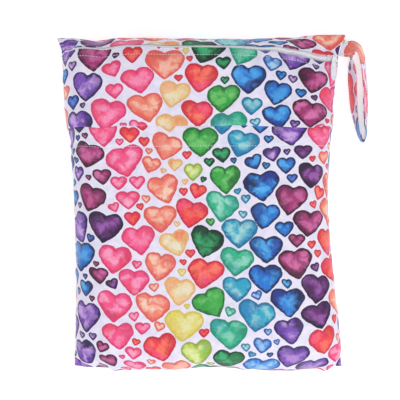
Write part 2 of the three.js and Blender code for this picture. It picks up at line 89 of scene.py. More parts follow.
# The strap from its lower end to its upper one, as shares of its reach: both ends lie flat on the seam, and
# the legs twist until they stand on edge.
strapPath = table(
    "x y lean lift",
    (0.0, 0.0, -80, 0.585), (0.026, -0.0085, -76, 0.53), (0.066, -0.026, -52, 0.31),
    (0.094, -0.066, -22, 0.1), (0.105, -0.12, 2, 0.02), (0.112, -0.181, 18, 0.0), (0.117, -0.261, 25, 0.0),
    (0.118, -0.381, 26, 0.0), (0.125, -0.501, 21, 0.0), (0.136, -0.621, 15, 0.0), (0.159, -0.751, 10, 0.0),
    (0.185, -0.861, 5, 0.0), (0.219, -0.927, 0, 0.0), (0.247, -0.861, 5, 0.0), (0.249, -0.751, 9, 0.0),
    (0.247, -0.621, 12, 0.0), (0.244, -0.501, 13, 0.0), (0.241, -0.381, 12, 0.0), (0.235, -0.261, 13, 0.0),
    (0.224, -0.151, 18, 0.03), (0.2, -0.06, 20, 0.16), (0.166, -0.006, 28, 0.38), (0.118, 0.004, 48, 0.59),
    (0.072, -0.015, 67, 0.69), (0.028, -0.0092, 77, 0.715), (0.0, 0.0, 80, 0.705),
)

bagWidth, bagHeight = bagSize["width"], bagSize["height"]
stripEdge = zipSize["line"] - zipSize["slot"] / 2
upperEdge = zipSize["line"] + zipSize["slot"] / 2
pocketTop = lapSize["edge"] - lapSize["cover"]
hemAt = lapSize["edge"] + lapSize["hemLine"]
stripCrease, upperStitch = stripEdge - zipSize["stitchAway"], upperEdge + zipSize["stitchAway"]


# Curves and smooth noise
def mix(p, q, share):
    return p + (q - p) * share


def smooth(x):
    x = np.clip(x, 0, 1)
    return x * x * (3 - 2 * x)


def through(rows, key, value):
    # cubic between a table's rows, each row's slope taken from its two neighbours
    x, y = (np.array([row[name] for row in rows], float) for name in (key, value))
    before, after = np.maximum(np.arange(len(x)) - 1, 0), np.minimum(np.arange(len(x)) + 1, len(x) - 1)
    slope = (y[after] - y[before]) / (x[after] - x[before])

    def curve(at):
        i = np.clip(np.searchsorted(x, at) - 1, 0, len(x) - 2)
        step = x[i + 1] - x[i]
        s = np.clip((at - x[i]) / step, 0, 1)
        return mix(y[i], y[i + 1], smooth(s)) + step * s * (1 - s) * ((1 - s) * slope[i] - s * slope[i + 1])

    return curve


def sampled(field, x, y):
    # value of a grid field[y, x] between its points, weighted by the 4 x 4 nearest ones (Catmull-Rom)
    rows, cols = field.shape[:2]
    ix, iy = np.floor(x).astype(int), np.floor(y).astype(int)
    fx, fy = x - ix, y - iy

    def weights(f):
        return (
            0.5 * (-f + 2 * f**2 - f**3), 0.5 * (2 - 5 * f**2 + 3 * f**3),
            0.5 * (f + 4 * f**2 - 3 * f**3), 0.5 * (-(f**2) + f**3),
        )

    total = 0
    for j, wy in enumerate(weights(fy)):
        for i, wx in enumerate(weights(fx)):
            value = field[np.clip(iy + j - 1, 0, rows - 1), np.clip(ix + i - 1, 0, cols - 1)]
            weight = wx * wy
            total = total + value * (weight[..., None] if field.ndim == 3 else weight)
    return total


noiseRepeat = 64
noiseGrid = rng.normal(size=(noiseRepeat, noiseRepeat))


def noise(x, y=0.0, layer=0):
    # soft random relief of about -1 to 1, with cells of one unit
    x, y = np.broadcast_arrays(np.asarray(x, float), np.asarray(y, float))
    wrapped = np.pad(np.roll(noiseGrid, (7 * layer, 11 * layer), (0, 1)), 2, mode="wrap")
    return 0.6 * sampled(wrapped, x % noiseRepeat + 2, y % noiseRepeat + 2)


def bell(offset):
    return np.exp(-offset * offset)


def fromSeams(a, b):
    # distance to the nearer side seam, and to the nearer of the top and bottom seams
    return np.minimum(a, bagWidth - a), np.minimum(b, bagHeight - b)


# The bag's form
edgeCurves = {key: through(sideOutline, "down", key) for key in ("left", "right")}
edgeCurves.update({key: through(endOutline, "across", key) for key in ("top", "bottom")})


def arcRise(distance, radius):
    return np.sin(np.minimum(distance / radius, math.pi / 2))


def arcRun(distance, radius):
    onArc = radius * (1 - np.cos(np.minimum(distance / radius, math.pi / 2)))
    return np.where(distance < radius * math.pi / 2, onArc, distance - radius * (math.pi / 2 - 1))


def turnedShare(distance, size):
    # share of the way across cloth whose two ends turn on the edge's arc
    edge = bagSize["edgeRound"]
    share = arcRun(np.minimum(distance, size - distance), edge) / (2 * arcRun(np.array(size / 2), edge))
    return np.where(distance < size / 2, share, 1 - share)


def creaseDepth(a, b):
    # each crease is a bell across its line and a flat-topped bell along it
    depth = 0
    for row in creases:
        turn = math.radians(row["turn"])
        x, y = a - row["across"] * bagWidth, row["down"] * bagHeight - b
        along = (x * math.cos(turn) + y * math.sin(turn)) / (row["reach"] * bagHeight)
        off = (y * math.cos(turn) - x * math.sin(turn)) / (row["width"] * bagSize["edgeRound"])
        depth = depth + row["depth"] * bagSize["edgeRound"] * np.exp(-off * off - along**4)
    return depth


def innerFace(a, bFlat, front):
    # shares across and down the outline are mixed between flat and turned cloth, and the height climbs
    # from the seam on a quarter sine to a crowned front or to the flat back
    s, line, lapEdge = bagSize, zipSize["line"], lapSize["edge"]
    nearZip = np.minimum(bFlat / line, (lapEdge - bFlat) / (lapEdge - line))
    b = bFlat + zipSize["skew"] * (a / bagWidth - 0.5) * np.clip(nearZip, 0, 1)
    sideways, endways = fromSeams(a, b)
    slack = smooth(1 - (bagWidth - a) / (s["slackAcross"] * bagWidth))
    slack = slack * smooth((s["slackEnd"] - b / bagHeight) / (s["slackEnd"] - s["slackFull"]))
    endTurn = mix(s["seamTurn"], 1, arcRise(sideways, s["edgeRound"])) * (1 - slack)
    across = mix(a / bagWidth, turnedShare(a, bagWidth), arcRise(endways, s["edgeRound"]))
    down = mix(b / bagHeight, turnedShare(b, bagHeight), endTurn)
    left = bagWidth * edgeCurves["left"](down) + s["wall"]
    right = bagWidth * edgeCurves["right"](down) - s["wall"]
    top = bagHeight * edgeCurves["top"](across) - s["wall"]
    bottom = bagHeight * edgeCurves["bottom"](across) + s["wall"]
    sideEdge, endEdge = np.exp(-sideways / s["rippleReach"]), np.exp(-endways / s["rippleReach"])
    ripple = np.sin(2 * math.pi * b / s["ripplePitch"]) * sideEdge * (1 - endEdge)
    ripple = ripple + np.sin(2 * math.pi * a / s["ripplePitch"]) * endEdge * (1 - sideEdge)
    corner = (1 - arcRise(sideways, 2 * s["edgeRound"])) * (1 - arcRise(endways, 2 * s["edgeRound"]))
    seam = s["seamHeight"] - s["cornerDrop"] * corner + s["rippleHeight"] * ripple
    if front:
        rise = arcRise(sideways, s["edgeRound"]) * arcRise(endways, s["edgeRound"] * (1 + slack))
        offMiddle = (2 * a / bagWidth - 1) ** 2 + (2 * b / bagHeight - 1) ** 2
        uneven = np.sin(2 * math.pi * a / s["swellPitch"]) * np.cos(2 * math.pi * b / s["swellPitch"])
        height = s["thickness"] - s["wall"] - s["swell"] - s["crownFall"] * offMiddle / 2
        height = height + s["swell"] * uneven - creaseDepth(a, b)
    else:
        rise = arcRise(sideways, s["backRound"]) * arcRise(endways, s["backRound"])
        height = s["wall"]
    clear = s["gap"] / 2 if front else -s["gap"] / 2
    return np.stack([mix(left, right, across), mix(top, bottom, down), mix(seam + clear, height, rise)], -1)


# The cloth's own folds: the bag is let settle as cloth from its formula's shape, and how far each point
# moves is kept as a field over the flat cloth.
settling = {
    "pitch": 5.0, "frames": 28, "headroom": 6.0, "uneven": 0.5, "slack": 1.01, "keepBelow": 40, "evenOut": 5,
    "mostMove": 6.0, "stillAt": (290, 22), "stillReach": (20, 48), "lyingBelow": 12, "gravity": 0.05,
}
clothSettings = {
    "quality": 5, "mass": 0.004, "air_damping": 1, "use_pressure": True, "uniform_pressure_force": 2.0,
    "tension_stiffness": 60, "compression_stiffness": 30, "shear_stiffness": 12, "bending_stiffness": 1.5,
    "tension_damping": 4, "compression_damping": 4, "shear_damping": 4, "bending_damping": 0.5,
}
settled = {}


def addObject(name, data):
    added = bpy.data.objects.new(name, data)
    bpy.context.scene.collection.objects.link(added)
    return added


def meshFrom(name, points, faces):
    mesh = bpy.data.meshes.new(name)
    mesh.from_pydata(points, [], faces)
    return addObject(name, mesh)


def squareAt(name, half, height, facesUp=True):
    corners = [(-half, -half, height), (half, -half, height), (half, half, height), (-half, half, height)]
    return meshFrom(name, corners, [(0, 1, 2, 3) if facesUp else (3, 2, 1, 0)])


def gridQuads(rows, cols, start=0):
    first = (np.arange(rows - 1)[:, None] * cols + np.arange(cols - 1)[None]).ravel() + start
    return np.stack([first, first + cols, first + cols + 1, first + 1], 1)


def softened(field, reach):
    # the field averaged with a bell of this reach, in grid steps, its edges mirrored
    span = max(1, round(3 * reach))
    weights = np.exp(-0.5 * (np.arange(-span, span + 1) / reach) ** 2)
    weights /= weights.sum()
    for axis in (0, 1):
        pads = [(span, span) if i == axis else (0, 0) for i in range(field.ndim)]
        wide = np.pad(field, pads, mode="reflect")
        steps = range(field.shape[axis], field.shape[axis] + 2 * span + 1)
        field = sum(weight * np.take(wide, np.arange(end - field.shape[axis], end), axis)
                    for weight, end in zip(weights, steps))
    return field


def plateAt(name, height, facesUp):
    # a stop for the cloth, which pushes it out on the side that the plate faces
    plate = squareAt(name, 0.4, height, facesUp)
    plate.modifiers.new("stop", "COLLISION")
    plate.collision.thickness_outer = 0.001
    plate.collision.cloth_friction = 5
    return plate


def settleCloth():
    s = settling
    cols, rows = round(bagWidth / s["pitch"]) + 1, round(bagHeight / s["pitch"]) + 1
    a, b = np.meshgrid(np.linspace(0, bagWidth, cols), np.linspace(0, bagHeight, rows))
    front, back = innerFace(a, b, True), innerFace(a, b, False)
    rim = (a == 0) | (b == 0) | (a == bagWidth) | (b == bagHeight)
    flat = np.stack([a - bagWidth / 2, bagHeight / 2 - b, 0 * a], -1)
    # the back's points come after the front's, and share the front's at the rim
    backIndex = np.where(rim, np.arange(rows * cols).reshape(rows, cols), 0)
    backIndex[~rim] = rows * cols + np.arange((~rim).sum())
    start = np.concatenate([front.reshape(-1, 3), back[~rim]])
    start = (start + rng.normal(0, s["uneven"], start.shape)) * mm
    rest = np.concatenate([flat.reshape(-1, 3), flat[~rim]]) * mm * s["slack"]
    quads = gridQuads(rows, cols)
    cloth = meshFrom("settling", start.tolist(), quads.tolist() + backIndex.ravel()[quads][:, ::-1].tolist())
    cloth.shape_key_add(name="Basis")
    cutKey = cloth.shape_key_add(name="cut")
    cutKey.data.foreach_set("co", rest.ravel())
    mod = cloth.modifiers.new("cloth", "CLOTH")
    for key, value in clothSettings.items():
        setattr(mod.settings, key, value)
    mod.settings.effector_weights.gravity = s["gravity"]
    mod.settings.rest_shape_key = cutKey
    mod.collision_settings.distance_min, mod.collision_settings.collision_quality = 0.0015, 2
    mod.collision_settings.use_self_collision = False
    mod.point_cache.frame_start, mod.point_cache.frame_end = 1, s["frames"]
    ceiling = (bagSize["thickness"] + s["headroom"]) * mm
    plates = [plateAt("under", -0.001, True), plateAt("over", ceiling, False)]
    scene = bpy.context.scene
    for step in range(1, s["frames"] + 1):
        scene.frame_set(step)
    shape = cloth.evaluated_get(bpy.context.evaluated_depsgraph_get()).to_mesh()
    points = np.empty(len(shape.vertices) * 3)
    shape.vertices.foreach_get("co", points)
    points = points.reshape(-1, 3) / mm
    moves = {}
    sides = {"front": (np.arange(rows * cols), front), "back": (backIndex.ravel(), back)}
    for side, (index, formula) in sides.items():
        move = points[index].reshape(rows, cols, 3) - formula
        # the folds are kept, the bag's whole form stays the formula's
        move = softened(move, s["evenOut"] / s["pitch"]) - softened(move, s["keepBelow"] / s["pitch"])
        size = np.linalg.norm(move, axis=-1, keepdims=True)
        print(side, "folds by", np.round(np.percentile(size, [50, 90, 99, 100]), 2), "mm: middle, 90 %, 99 %, most")
        moves[side] = move * np.minimum(1, s["mostMove"] / np.maximum(size, 1e-6))
    near, far = s["stillReach"]
    free = smooth((np.hypot(a - s["stillAt"][0], b - s["stillAt"][1]) - near) / (far - near))[..., None]
    lying = smooth((back[..., 2] - bagSize["wall"]) / s["lyingBelow"])[..., None]
    # front and back share the rim, so there both take the front's
    moves["back"][rim] = moves["front"][rim]
    settled["front"], settled["back"] = moves["front"] * free, moves["back"] * free * lying
    for item in [cloth, *plates]:
        bpy.data.objects.remove(item)
    scene.frame_set(1)


# Sewn edges draw the cloth up into short puckers, and longer folds run in from the seams.
puckers = {
    "seam": {"height": 1.5, "pitch": 9, "reach": 12, "inwardPitch": 40},
    "stitch": {"height": 0.34, "pitch": 6.5, "reach": 5, "inwardPitch": 30},
    "cloth": {"height": 0.5, "pitch": 38, "squash": 0.6},
    "atOutline": 0.3, "valleysFrom": (12, 24), "cornerClear": 30, "seamClear": 3, "lyingBelow": 14,
}
foldMaking = {
    "count": 64, "reach": (30, 92), "width": (2.8, 6.4), "height": (1.3, 3.6), "turn": 42,
    "atCorner": 0.45, "cornerSpread": 0.09, "cornerGap": 0.02, "onFront": 0.6, "spread": 1.6, "valley": 0.55,
    "bow": 0.12, "bowPace": 2.2, "startPace": 6, "startShare": 0.5, "ridge": 1.6,
}


def throwFolds():
    # where each fold leaves the seam, and which way it runs in; many start near a corner
    f = foldMaking
    folds = []
    for n in range(f["count"]):
        side, along = rng.integers(4), rng.uniform()
        if rng.uniform() < f["atCorner"]:
            inset = abs(rng.normal(0, f["cornerSpread"]))
            along = inset if along < 0.5 else 1 - inset
        along = float(np.clip(along, f["cornerGap"], 1 - f["cornerGap"]))
        a, b, inwards = [
            (0, along * bagHeight, 0), (bagWidth, along * bagHeight, 180),
            (along * bagWidth, 0, 90), (along * bagWidth, bagHeight, -90),
        ][side]
        turn = math.radians(inwards + rng.uniform(-1, 1) * f["turn"])
        folds.append({
            "a": a, "b": b, "turn": turn,
            "reach": rng.uniform(*f["reach"]), "width": rng.uniform(*f["width"]),
            "height": rng.uniform(*f["height"]) * rng.choice((-1, 1)), "front": bool(rng.uniform() < f["onFront"]),
        })
    return folds


folds = throwFolds()


def foldHeight(a, b, front):
    # across a fold a ridge between two shallow valleys, along it a slow fade while it grows wider
    f = foldMaking
    height = 0
    for fold in folds:
        if fold["front"] != front:
            continue
        x, y = a - fold["a"], b - fold["b"]
        cos, sin = math.cos(fold["turn"]), math.sin(fold["turn"])
        along = (x * cos + y * sin) / fold["reach"]
        bend = f["bow"] * fold["reach"] * np.sin(f["bowPace"] * along + fold["a"] + fold["b"])
        off = (y * cos - x * sin - bend) / (fold["width"] * (1 + f["spread"] * np.clip(along, 0, 1)))
        fade = smooth(1 - along) * smooth(along * f["startPace"] + f["startShare"])
        ridge = (1 - f["valley"] * off * off) * np.exp(-off * off / f["ridge"])
        height = height + fold["height"] * fade * ridge
    return height


def gathered(row, along, inwards, layer):
    # puckers along a sewn line that fade inwards from it
    drawn = noise(along / row["pitch"], inwards / row["inwardPitch"], layer)
    return row["height"] * drawn


def relief(a, b, front):
    p = puckers
    sideways, endways = fromSeams(a, b)
    layer = 0 if front else 10
    row = p["cloth"]
    height = row["height"] * noise(a / row["pitch"], row["squash"] * b / row["pitch"], layer + 1)
    row = p["seam"]
    height = height + gathered(row, b, sideways, layer + 2) * np.exp(-sideways / row["reach"])
    height = height + gathered(row, a, endways, layer + 3) * np.exp(-endways / row["reach"])
    height = height + foldHeight(a, b, front)
    row = p["stitch"]
    for n, line in enumerate((stripEdge, upperEdge, hemAt) if front else ()):
        height = height + gathered(row, a, b, 4 + n) * np.exp(-abs(b - line) / row["reach"])
    # by the slider the cloth only wrinkles downwards, so that the pull swings clear of it
    apart = np.hypot(a - settling["stillAt"][0], b - settling["stillAt"][1])
    reaches = (settling["stillReach"], p["valleysFrom"])
    peaks, valleys = (smooth((apart - near) / (far - near)) for near, far in reaches)
    corner = smooth(np.hypot(sideways, endways) / p["cornerClear"])
    height = np.maximum(height, 0) * peaks + np.minimum(height, 0) * valleys
    return height * corner * smooth(np.minimum(sideways, endways) / p["seamClear"])


def clothPlace(a, b, front):
    points = innerFace(a, b, front)
    if settled:
        field = settled["front" if front else "back"]
        rows, cols = field.shape[:2]
        points = points + sampled(field, a / bagWidth * (cols - 1), b / bagHeight * (rows - 1))
    return points


def clothPoint(a, b, height, front=True):
    # height above the cloth's inner face, along its normal; folds hardly move the bag's outline
    step, sign = 0.3, 1 if front else -1
    origin = clothPlace(a, b, front)
    right, left = (clothPlace(np.clip(a + move, 0, bagWidth), b, front) for move in (step, -step))
    above, below = (clothPlace(a, np.clip(b + move, 0, bagHeight), front) for move in (-step, step))
    out = np.cross(right - left, above - below) * sign
    onSeam = (a <= 0) | (b <= 0) | (a >= bagWidth) | (b >= bagHeight)
    out[..., 2] = np.where(onSeam & (out[..., 2] * sign < 0), 0, out[..., 2])
    out /= np.linalg.norm(out, axis=-1, keepdims=True)
    folded = relief(a, b, front) * mix(puckers["atOutline"], 1, abs(out[..., 2]))
    height = height + folded * (1 if front else smooth(origin[..., 2] / puckers["lyingBelow"]))
    return origin + out * height[..., None]


# Making meshes
def pieceFrom(name, points, faces):
    # points in mm, faces as an array of quads or triangles
    mesh = bpy.data.meshes.new(name)
    mesh.vertices.add(len(points))
    mesh.vertices.foreach_set("co", (np.asarray(points) * mm).astype(np.float32).ravel())
    corners = faces.shape[1]
    mesh.loops.add(faces.size)
    mesh.loops.foreach_set("vertex_index", faces.astype(np.int32).ravel())
    mesh.polygons.add(len(faces))
    mesh.polygons.foreach_set("loop_start", np.arange(len(faces), dtype=np.int32) * corners)
    mesh.polygons.foreach_set("use_smooth", np.ones(len(faces), bool))
    mesh.update(calc_edges=True)
    mesh.validate()
    piece = addObject(name, mesh)
    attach(piece, "bag")
    return piece


def addField(piece, name, kind, domain, values):
    field = piece.data.attributes.new(name, kind, domain)
    key = {"FLOAT_VECTOR": "vector", "FLOAT_COLOR": "color", "FLOAT": "value"}[kind]
    field.data.foreach_set(key, np.asarray(values, np.float32).ravel())


def spreadStations(start, end, pitch, fineSpots=(), finePitch=0.5, fineReach=2.2):
    # stations whose spacing narrows from pitch to finePitch round each fine spot
    x = np.linspace(start, end, 6000)
    density = np.full_like(x, 1 / pitch)
    for spot in fineSpots:
        density = np.maximum(density, bell((x - spot) / fineReach) / finePitch)
    total = np.concatenate([[0], np.cumsum((density[1:] + density[:-1]) / 2 * np.diff(x))])
    return np.interp(np.linspace(0, total[-1], math.ceil(total[-1]) + 1), total, x)


def wallOf(name, a, b, lower, upper, front=True, laid=lambda A, B: B):
    # a closed wall over a grid of the cloth between two heights, with its four rims; laid says how far down
    # the bag each row of the cut cloth comes to lie
    A, B = np.meshgrid(a, b)
    rows, cols = A.shape
    layers = [clothPoint(A, laid(A, B), height(A, B), front) for height in (lower, upper)]
    points = np.concatenate([layer.reshape(-1, 3) for layer in layers])
    inner = gridQuads(rows, cols)
    outer = inner + rows * cols
    index = np.arange(rows * cols).reshape(rows, cols)
    ring = np.concatenate([index[0, :-1], index[:-1, -1], index[-1, :0:-1], index[:0:-1, 0]])
    nextRing = np.roll(ring, -1)
    rims = np.stack([ring, nextRing, nextRing + rows * cols, ring + rows * cols], 1)
    faces = np.concatenate([inner[:, ::-1], outer, rims[:, ::-1]])
    if not front:
        faces = faces[:, ::-1]
    piece = pieceFrom(name, points, faces)
    place = np.stack([A, -B], -1).reshape(-1, 2)
    return piece, np.concatenate([place, place]), faces


# The print: watercolour hearts of three sizes, spread so that none touches another, over a repeat of its own
printDesign = {
    "repeat": (300, 390), "gap": 2.4, "grid": 2.0,
    "large": {"count": 98, "tall": (26, 33)},
    "medium": {"count": 90, "tall": (12, 20)},
    "small": {"count": 220, "tall": (5.6, 11)},
    "tilt": 10, "mostTilt": 26, "lean": 0.05, "squeeze": 0.05, "mostSqueeze": 0.1, "inkSpread": 0.25,
    "pushReach": 0.62, "pushSpare": 6, "pushShare": 0.5, "mostPush": 3, "largeTurns": 300, "turns": 120,
    "leastOfRoom": 0.75, "halfTall": 0.5, "thinBelow": 13, "thinOver": 5, "mostThin": 0.8,
}
# Inks, by where they lie across the repeat, as shares of it, and how far each spreads from there
inks = table(
    "at spread main rim bloom blot",
    ((0.09, 0.81), 0.055, "7C4CB8", "241245", "CFA8E8", "532C94"),
    ((0.05, 0.74), 0.06, "2276D2", "141C4C", "55B2F4", "24348E"),
    ((0.13, 0.84), 0.03, "3354C0", "141446", "5F94EC", "3C227E"),
    ((0.17, 0.86), 0.025, "A0306F", "350D26", "E078B4", "5E1748"),
    ((0.19, 0.88), 0.02, "66296F", "220E30", "A562B8", "361346"),
    ((0.27, 0.97), 0.05, "F8548C", "D93A6C", "FFA6CC", "F0445E"),
    ((0.34, 0.93, 0.47), 0.045, "EF3B4A", "C4283A", "FF8068", "F45080"),
    ((0.37, 0.99), 0.045, "F5836F", "DD5C54", "FBD3BE", "EF605C"),
    ((0.42,), 0.03, "EFD194", "E4AE74", "ECE8D6", "F08058"),
    ((0.45,), 0.025, "E4D766", "D3BE55", "ECE9C0", "E9B45C"),
    ((0.5,), 0.025, "BED24F", "8EA238", "E3ECAC", "74BC4E"),
    ((0.55,), 0.035, "36A845", "1B642F", "72CA70", "2A893A"),
    ((0.56,), 0.04, "1F7447", "0C2C22", "3EB87A", "153F30"),
    ((0.61,), 0.035, "2CB48B", "1C8870", "9ADFCB", "3A9EA8"),
    ((0.66,), 0.035, "2CA5C8", "1C6B98", "A8DFDF", "1C76BC"),
    ((0.7,), 0.035, "3A90E0", "26489C", "AED5F7", "264EB2"),
)
# A heart 1 tall has two round lobes and two long bowed sides that leave its tip at this angle from upright.
heartForm = {"lobe": 0.30, "lobeX": 0.25, "lobeY": 0.70, "tipAngle": 53, "middle": 0.55, "soft": 0.03}
# discs that fill a heart 1 tall, for keeping hearts apart: x, y, radius
heartDiscs = np.array([(-0.25, 0.15, 0.30), (0.25, 0.15, 0.30), (0, -0.10, 0.33), (0, -0.39, 0.12)])


def heartArcs():
    # radius and centre of the side that meets the lobe smoothly, and the direction square to where they meet
    f = heartForm
    sin, cos = math.sin(math.radians(f["tipAngle"])), math.cos(math.radians(f["tipAngle"]))
    lobeSpan = f["lobeX"] ** 2 + f["lobeY"] ** 2 - f["lobe"] ** 2
    radius = lobeSpan / (2 * (f["lobeY"] * sin - f["lobeX"] * cos - f["lobe"]))
    centre = (-radius * cos, radius * sin)
    run = np.array([f["lobeX"] - centre[0], f["lobeY"] - centre[1]])
    run /= np.hypot(*run)
    return radius, centre, (-run[1], run[0])


def heartLevel(x, y):
    # below 0 inside: the nearer of the lobe's circle and of the side's circle under the line where they meet
    f = heartForm
    radius, centre, square = heartArcs()
    x, y = abs(x), y + f["middle"]
    lobe = np.hypot(x - f["lobeX"], y - f["lobeY"]) - f["lobe"]
    side = np.hypot(x - centre[0], y - centre[1]) - radius
    top = square[0] * (x - f["lobeX"]) + square[1] * (y - f["lobeY"])
    return np.minimum(lobe, np.maximum(side, top))


def acrossRepeat(apart):
    size = np.array(printDesign["repeat"], float)
    return apart - size * np.round(apart / size)


def keepApart(at, tall, tilt, turns):
    # hearts whose discs come too near push each other away, the small one further
    d, gap = printDesign, printDesign["gap"]
    cos, sin = np.cos(tilt)[:, None], np.sin(tilt)[:, None]
    discX, discY, discRadius = heartDiscs.T
    offset = np.stack([discX * cos - discY * sin, discX * sin + discY * cos], -1) * tall[:, None, None]
    radius = discRadius * tall[:, None]
    for turn in range(turns):
        if turn % 10 == 0:
            apart = acrossRepeat(at[:, None] - at[None])
            reach = d["pushReach"] * (tall[:, None] + tall[None]) + gap + d["pushSpare"]
            i, j = np.nonzero(np.triu(np.hypot(apart[..., 0], apart[..., 1]) < reach, 1))
        away = acrossRepeat(at[i] - at[j])[:, None, None] + offset[i][:, :, None] - offset[j][:, None]
        distance = np.hypot(away[..., 0], away[..., 1]) + 1e-9
        short = np.maximum(0, radius[i][:, :, None] + radius[j][:, None] + gap - distance)
        push = (away / distance[..., None] * short[..., None]).sum((1, 2)) * d["pushShare"]
        share = (tall[j] ** 2 / (tall[i] ** 2 + tall[j] ** 2))[:, None]
        move = np.zeros_like(at)
        np.add.at(move, i, push * share)
        np.add.at(move, j, -push * (1 - share))
        length = np.hypot(move[:, 0], move[:, 1])[:, None]
        at = (at + move * np.minimum(1, d["mostPush"] / np.maximum(length, 1e-9))) % d["repeat"]
    return at, float(short.max())


def roomRound(points, at, tall, tilt):
    # how far each point is from each heart's outline, in mm
    apart = acrossRepeat(points[:, None] - at[None])
    cos, sin = np.cos(tilt), np.sin(tilt)
    x = (apart[..., 0] * cos + apart[..., 1] * sin) / tall
    y = (apart[..., 1] * cos - apart[..., 0] * sin) / tall
    return heartLevel(x, y) * tall


def layOutHearts():
    # large hearts are thrown down and push apart; smaller ones then go one by one where most room is left
    d = printDesign
    tilts = lambda count: np.radians(rng.normal(0, d["tilt"], count).clip(-d["mostTilt"], d["mostTilt"]))
    count = d["large"]["count"]
    at = rng.uniform(0, 1, (count, 2)) * d["repeat"]
    tall, tilt = rng.uniform(*d["large"]["tall"], count), tilts(count)
    at, short = keepApart(at, tall, tilt, d["largeTurns"])
    grid = np.stack(np.meshgrid(*(np.arange(0, size, d["grid"]) for size in d["repeat"])), -1).reshape(-1, 2)
    for row in (d["medium"], d["small"]):
        room = roomRound(grid, at, tall, tilt).min(1)
        for n in range(row["count"]):
            spot = np.argmax(room)
            fits = (room[spot] - d["gap"]) / d["halfTall"]
            if fits < row["tall"][0]:
                break
            newTall = np.array([min(row["tall"][1] * rng.uniform(d["leastOfRoom"], 1), fits)])
            newTilt = tilts(1)
            room = np.minimum(room, roomRound(grid, grid[spot][None], newTall, newTilt)[:, 0])
            at = np.vstack([at, grid[spot]])
            tall, tilt = np.append(tall, newTall), np.append(tilt, newTilt)
        at, short = keepApart(at, tall, tilt, d["turns"])
    covered = (roomRound(grid, at, tall, tilt).min(1) < 0).mean()
    print("hearts:", len(at), "cover", round(float(covered), 2), "of the cloth, nearest short of its gap by",
          round(short, 2), "mm")
    return at, tall, tilt


def linearOf(hexColour):
    # sRGB hex to linear
    srgb = np.array([int(hexColour[i:i + 2], 16) / 255 for i in (0, 2, 4)])
    return np.where(srgb <= 0.04045, srgb / 12.92, ((srgb + 0.055) / 1.055) ** 2.4)


def paintHearts():
    d = printDesign
    at, tall, tilt = layOutHearts()
    count = len(at)
    place = at[:, :1] / d["repeat"][0]
    weight = np.zeros((count, len(inks)))
    for i, ink in enumerate(inks):
        for middle in ink["at"]:
            weight[:, i] += np.exp(-(((place[:, 0] - middle + 0.5) % 1 - 0.5) / ink["spread"]) ** 2)
    weight = np.cumsum(weight / weight.sum(1, keepdims=True), 1)
    pick = (rng.uniform(size=(count, 1)) > weight).sum(1).clip(0, len(inks) - 1)
    colours = {key: np.array([linearOf(inks[i][key]) for i in pick]) for key in tints}
    # small hearts are a thin wash inside a dark line
    thin = smooth((d["thinBelow"] - tall) / d["thinOver"]) * rng.uniform(0, d["mostThin"], count)
    colours["main"] = mix(colours["main"], colours["bloom"], thin[:, None])
    cos, sin = np.cos(tilt), np.sin(tilt)
    lean = rng.normal(0, d["lean"], count)
    wide = 1 + rng.normal(0, d["squeeze"], count).clip(-d["mostSqueeze"], d["mostSqueeze"])
    across, up = np.stack([cos, sin], 1), np.stack([-sin, cos], 1)
    return {
        "at": at, "tall": tall, "dice": rng.uniform(0, 1, (count, 3)), **colours,
        "across": (across - lean[:, None] * up) / (tall * wide)[:, None], "up": up / tall[:, None],
    }

tints = ("main", "rim", "bloom", "blot")
hearts = paintHearts()


def printOn(piece, place, faces, offset):
    # each face learns which heart of the repeat lies nearest, and where, so that the shader can draw it
    offset = np.array(offset, float)
    centre = place[faces].mean(1) + offset
    nearest = np.empty(len(faces), int)
    for part in np.array_split(np.arange(len(faces)), max(1, len(faces) // 6000)):
        apart = acrossRepeat(centre[part, None] - hearts["at"][None])
        x, y = (apart * hearts["across"]).sum(-1), (apart * hearts["up"]).sum(-1)
        nearest[part] = np.argmin(heartLevel(x, y) * hearts["tall"], 1)
    at = place[faces].mean(1) - acrossRepeat(centre - hearts["at"][nearest])
    flat = lambda pairs: np.column_stack([pairs, np.zeros(len(pairs))])
    addField(piece, "clothAt", "FLOAT_VECTOR", "POINT", flat(place))
    addField(piece, "heartAt", "FLOAT_VECTOR", "FACE", flat(at))
    addField(piece, "heartAcross", "FLOAT_VECTOR", "FACE", flat(hearts["across"][nearest]))
    addField(piece, "heartUp", "FLOAT_VECTOR", "FACE", flat(hearts["up"][nearest]))
    addField(piece, "heartDice", "FLOAT_VECTOR", "FACE", hearts["dice"][nearest])
    addField(piece, "heartTall", "FLOAT", "FACE", hearts["tall"][nearest])
    for key in tints:
        tint = np.column_stack([hearts[key][nearest], np.ones(len(nearest))])
        addField(piece, "heart" + key.capitalize(), "FLOAT_COLOR", "FACE", tint)


# Materials
making = {}


def setInputs(node, **inputs):
    # inputs are numbers, colours or other nodes' outputs, named as the node's sockets or _0, _1, ...
    for key, value in inputs.items():
        socket = node.inputs[int(key[1:]) if key[0] == "_" else key.replace("_", " ")]
        if isinstance(value, bpy.types.NodeSocket):
            making["tree"].links.new(value, socket)
        else:
            socket.default_value = value


def startMaterial(name, **inputs):
    # the nodes added from here on belong to this material
    material = bpy.data.materials.new(name)
    material.use_nodes = True
    making["tree"] = material.node_tree
    shader = material.node_tree.nodes["Principled BSDF"]
    setInputs(shader, **inputs)
    return material, shader


def addNode(kind, settings=None, **inputs):
    node = making["tree"].nodes.new("ShaderNode" + kind)
    for key, value in (settings or {}).items():
        setattr(node, key, value)
    setInputs(node, **inputs)
    return node


def calc(operation, *values):
    inputs = {f"_{i}": value for i, value in enumerate(values)}
    return addNode("Math", {"operation": operation}, **inputs).outputs[0]


def times(first, second):
    return calc("MULTIPLY", first, second)


def minus(first, second):
    return calc("SUBTRACT", first, second)


def scaled(value, factor, plus):
    return calc("MULTIPLY_ADD", value, factor, plus)


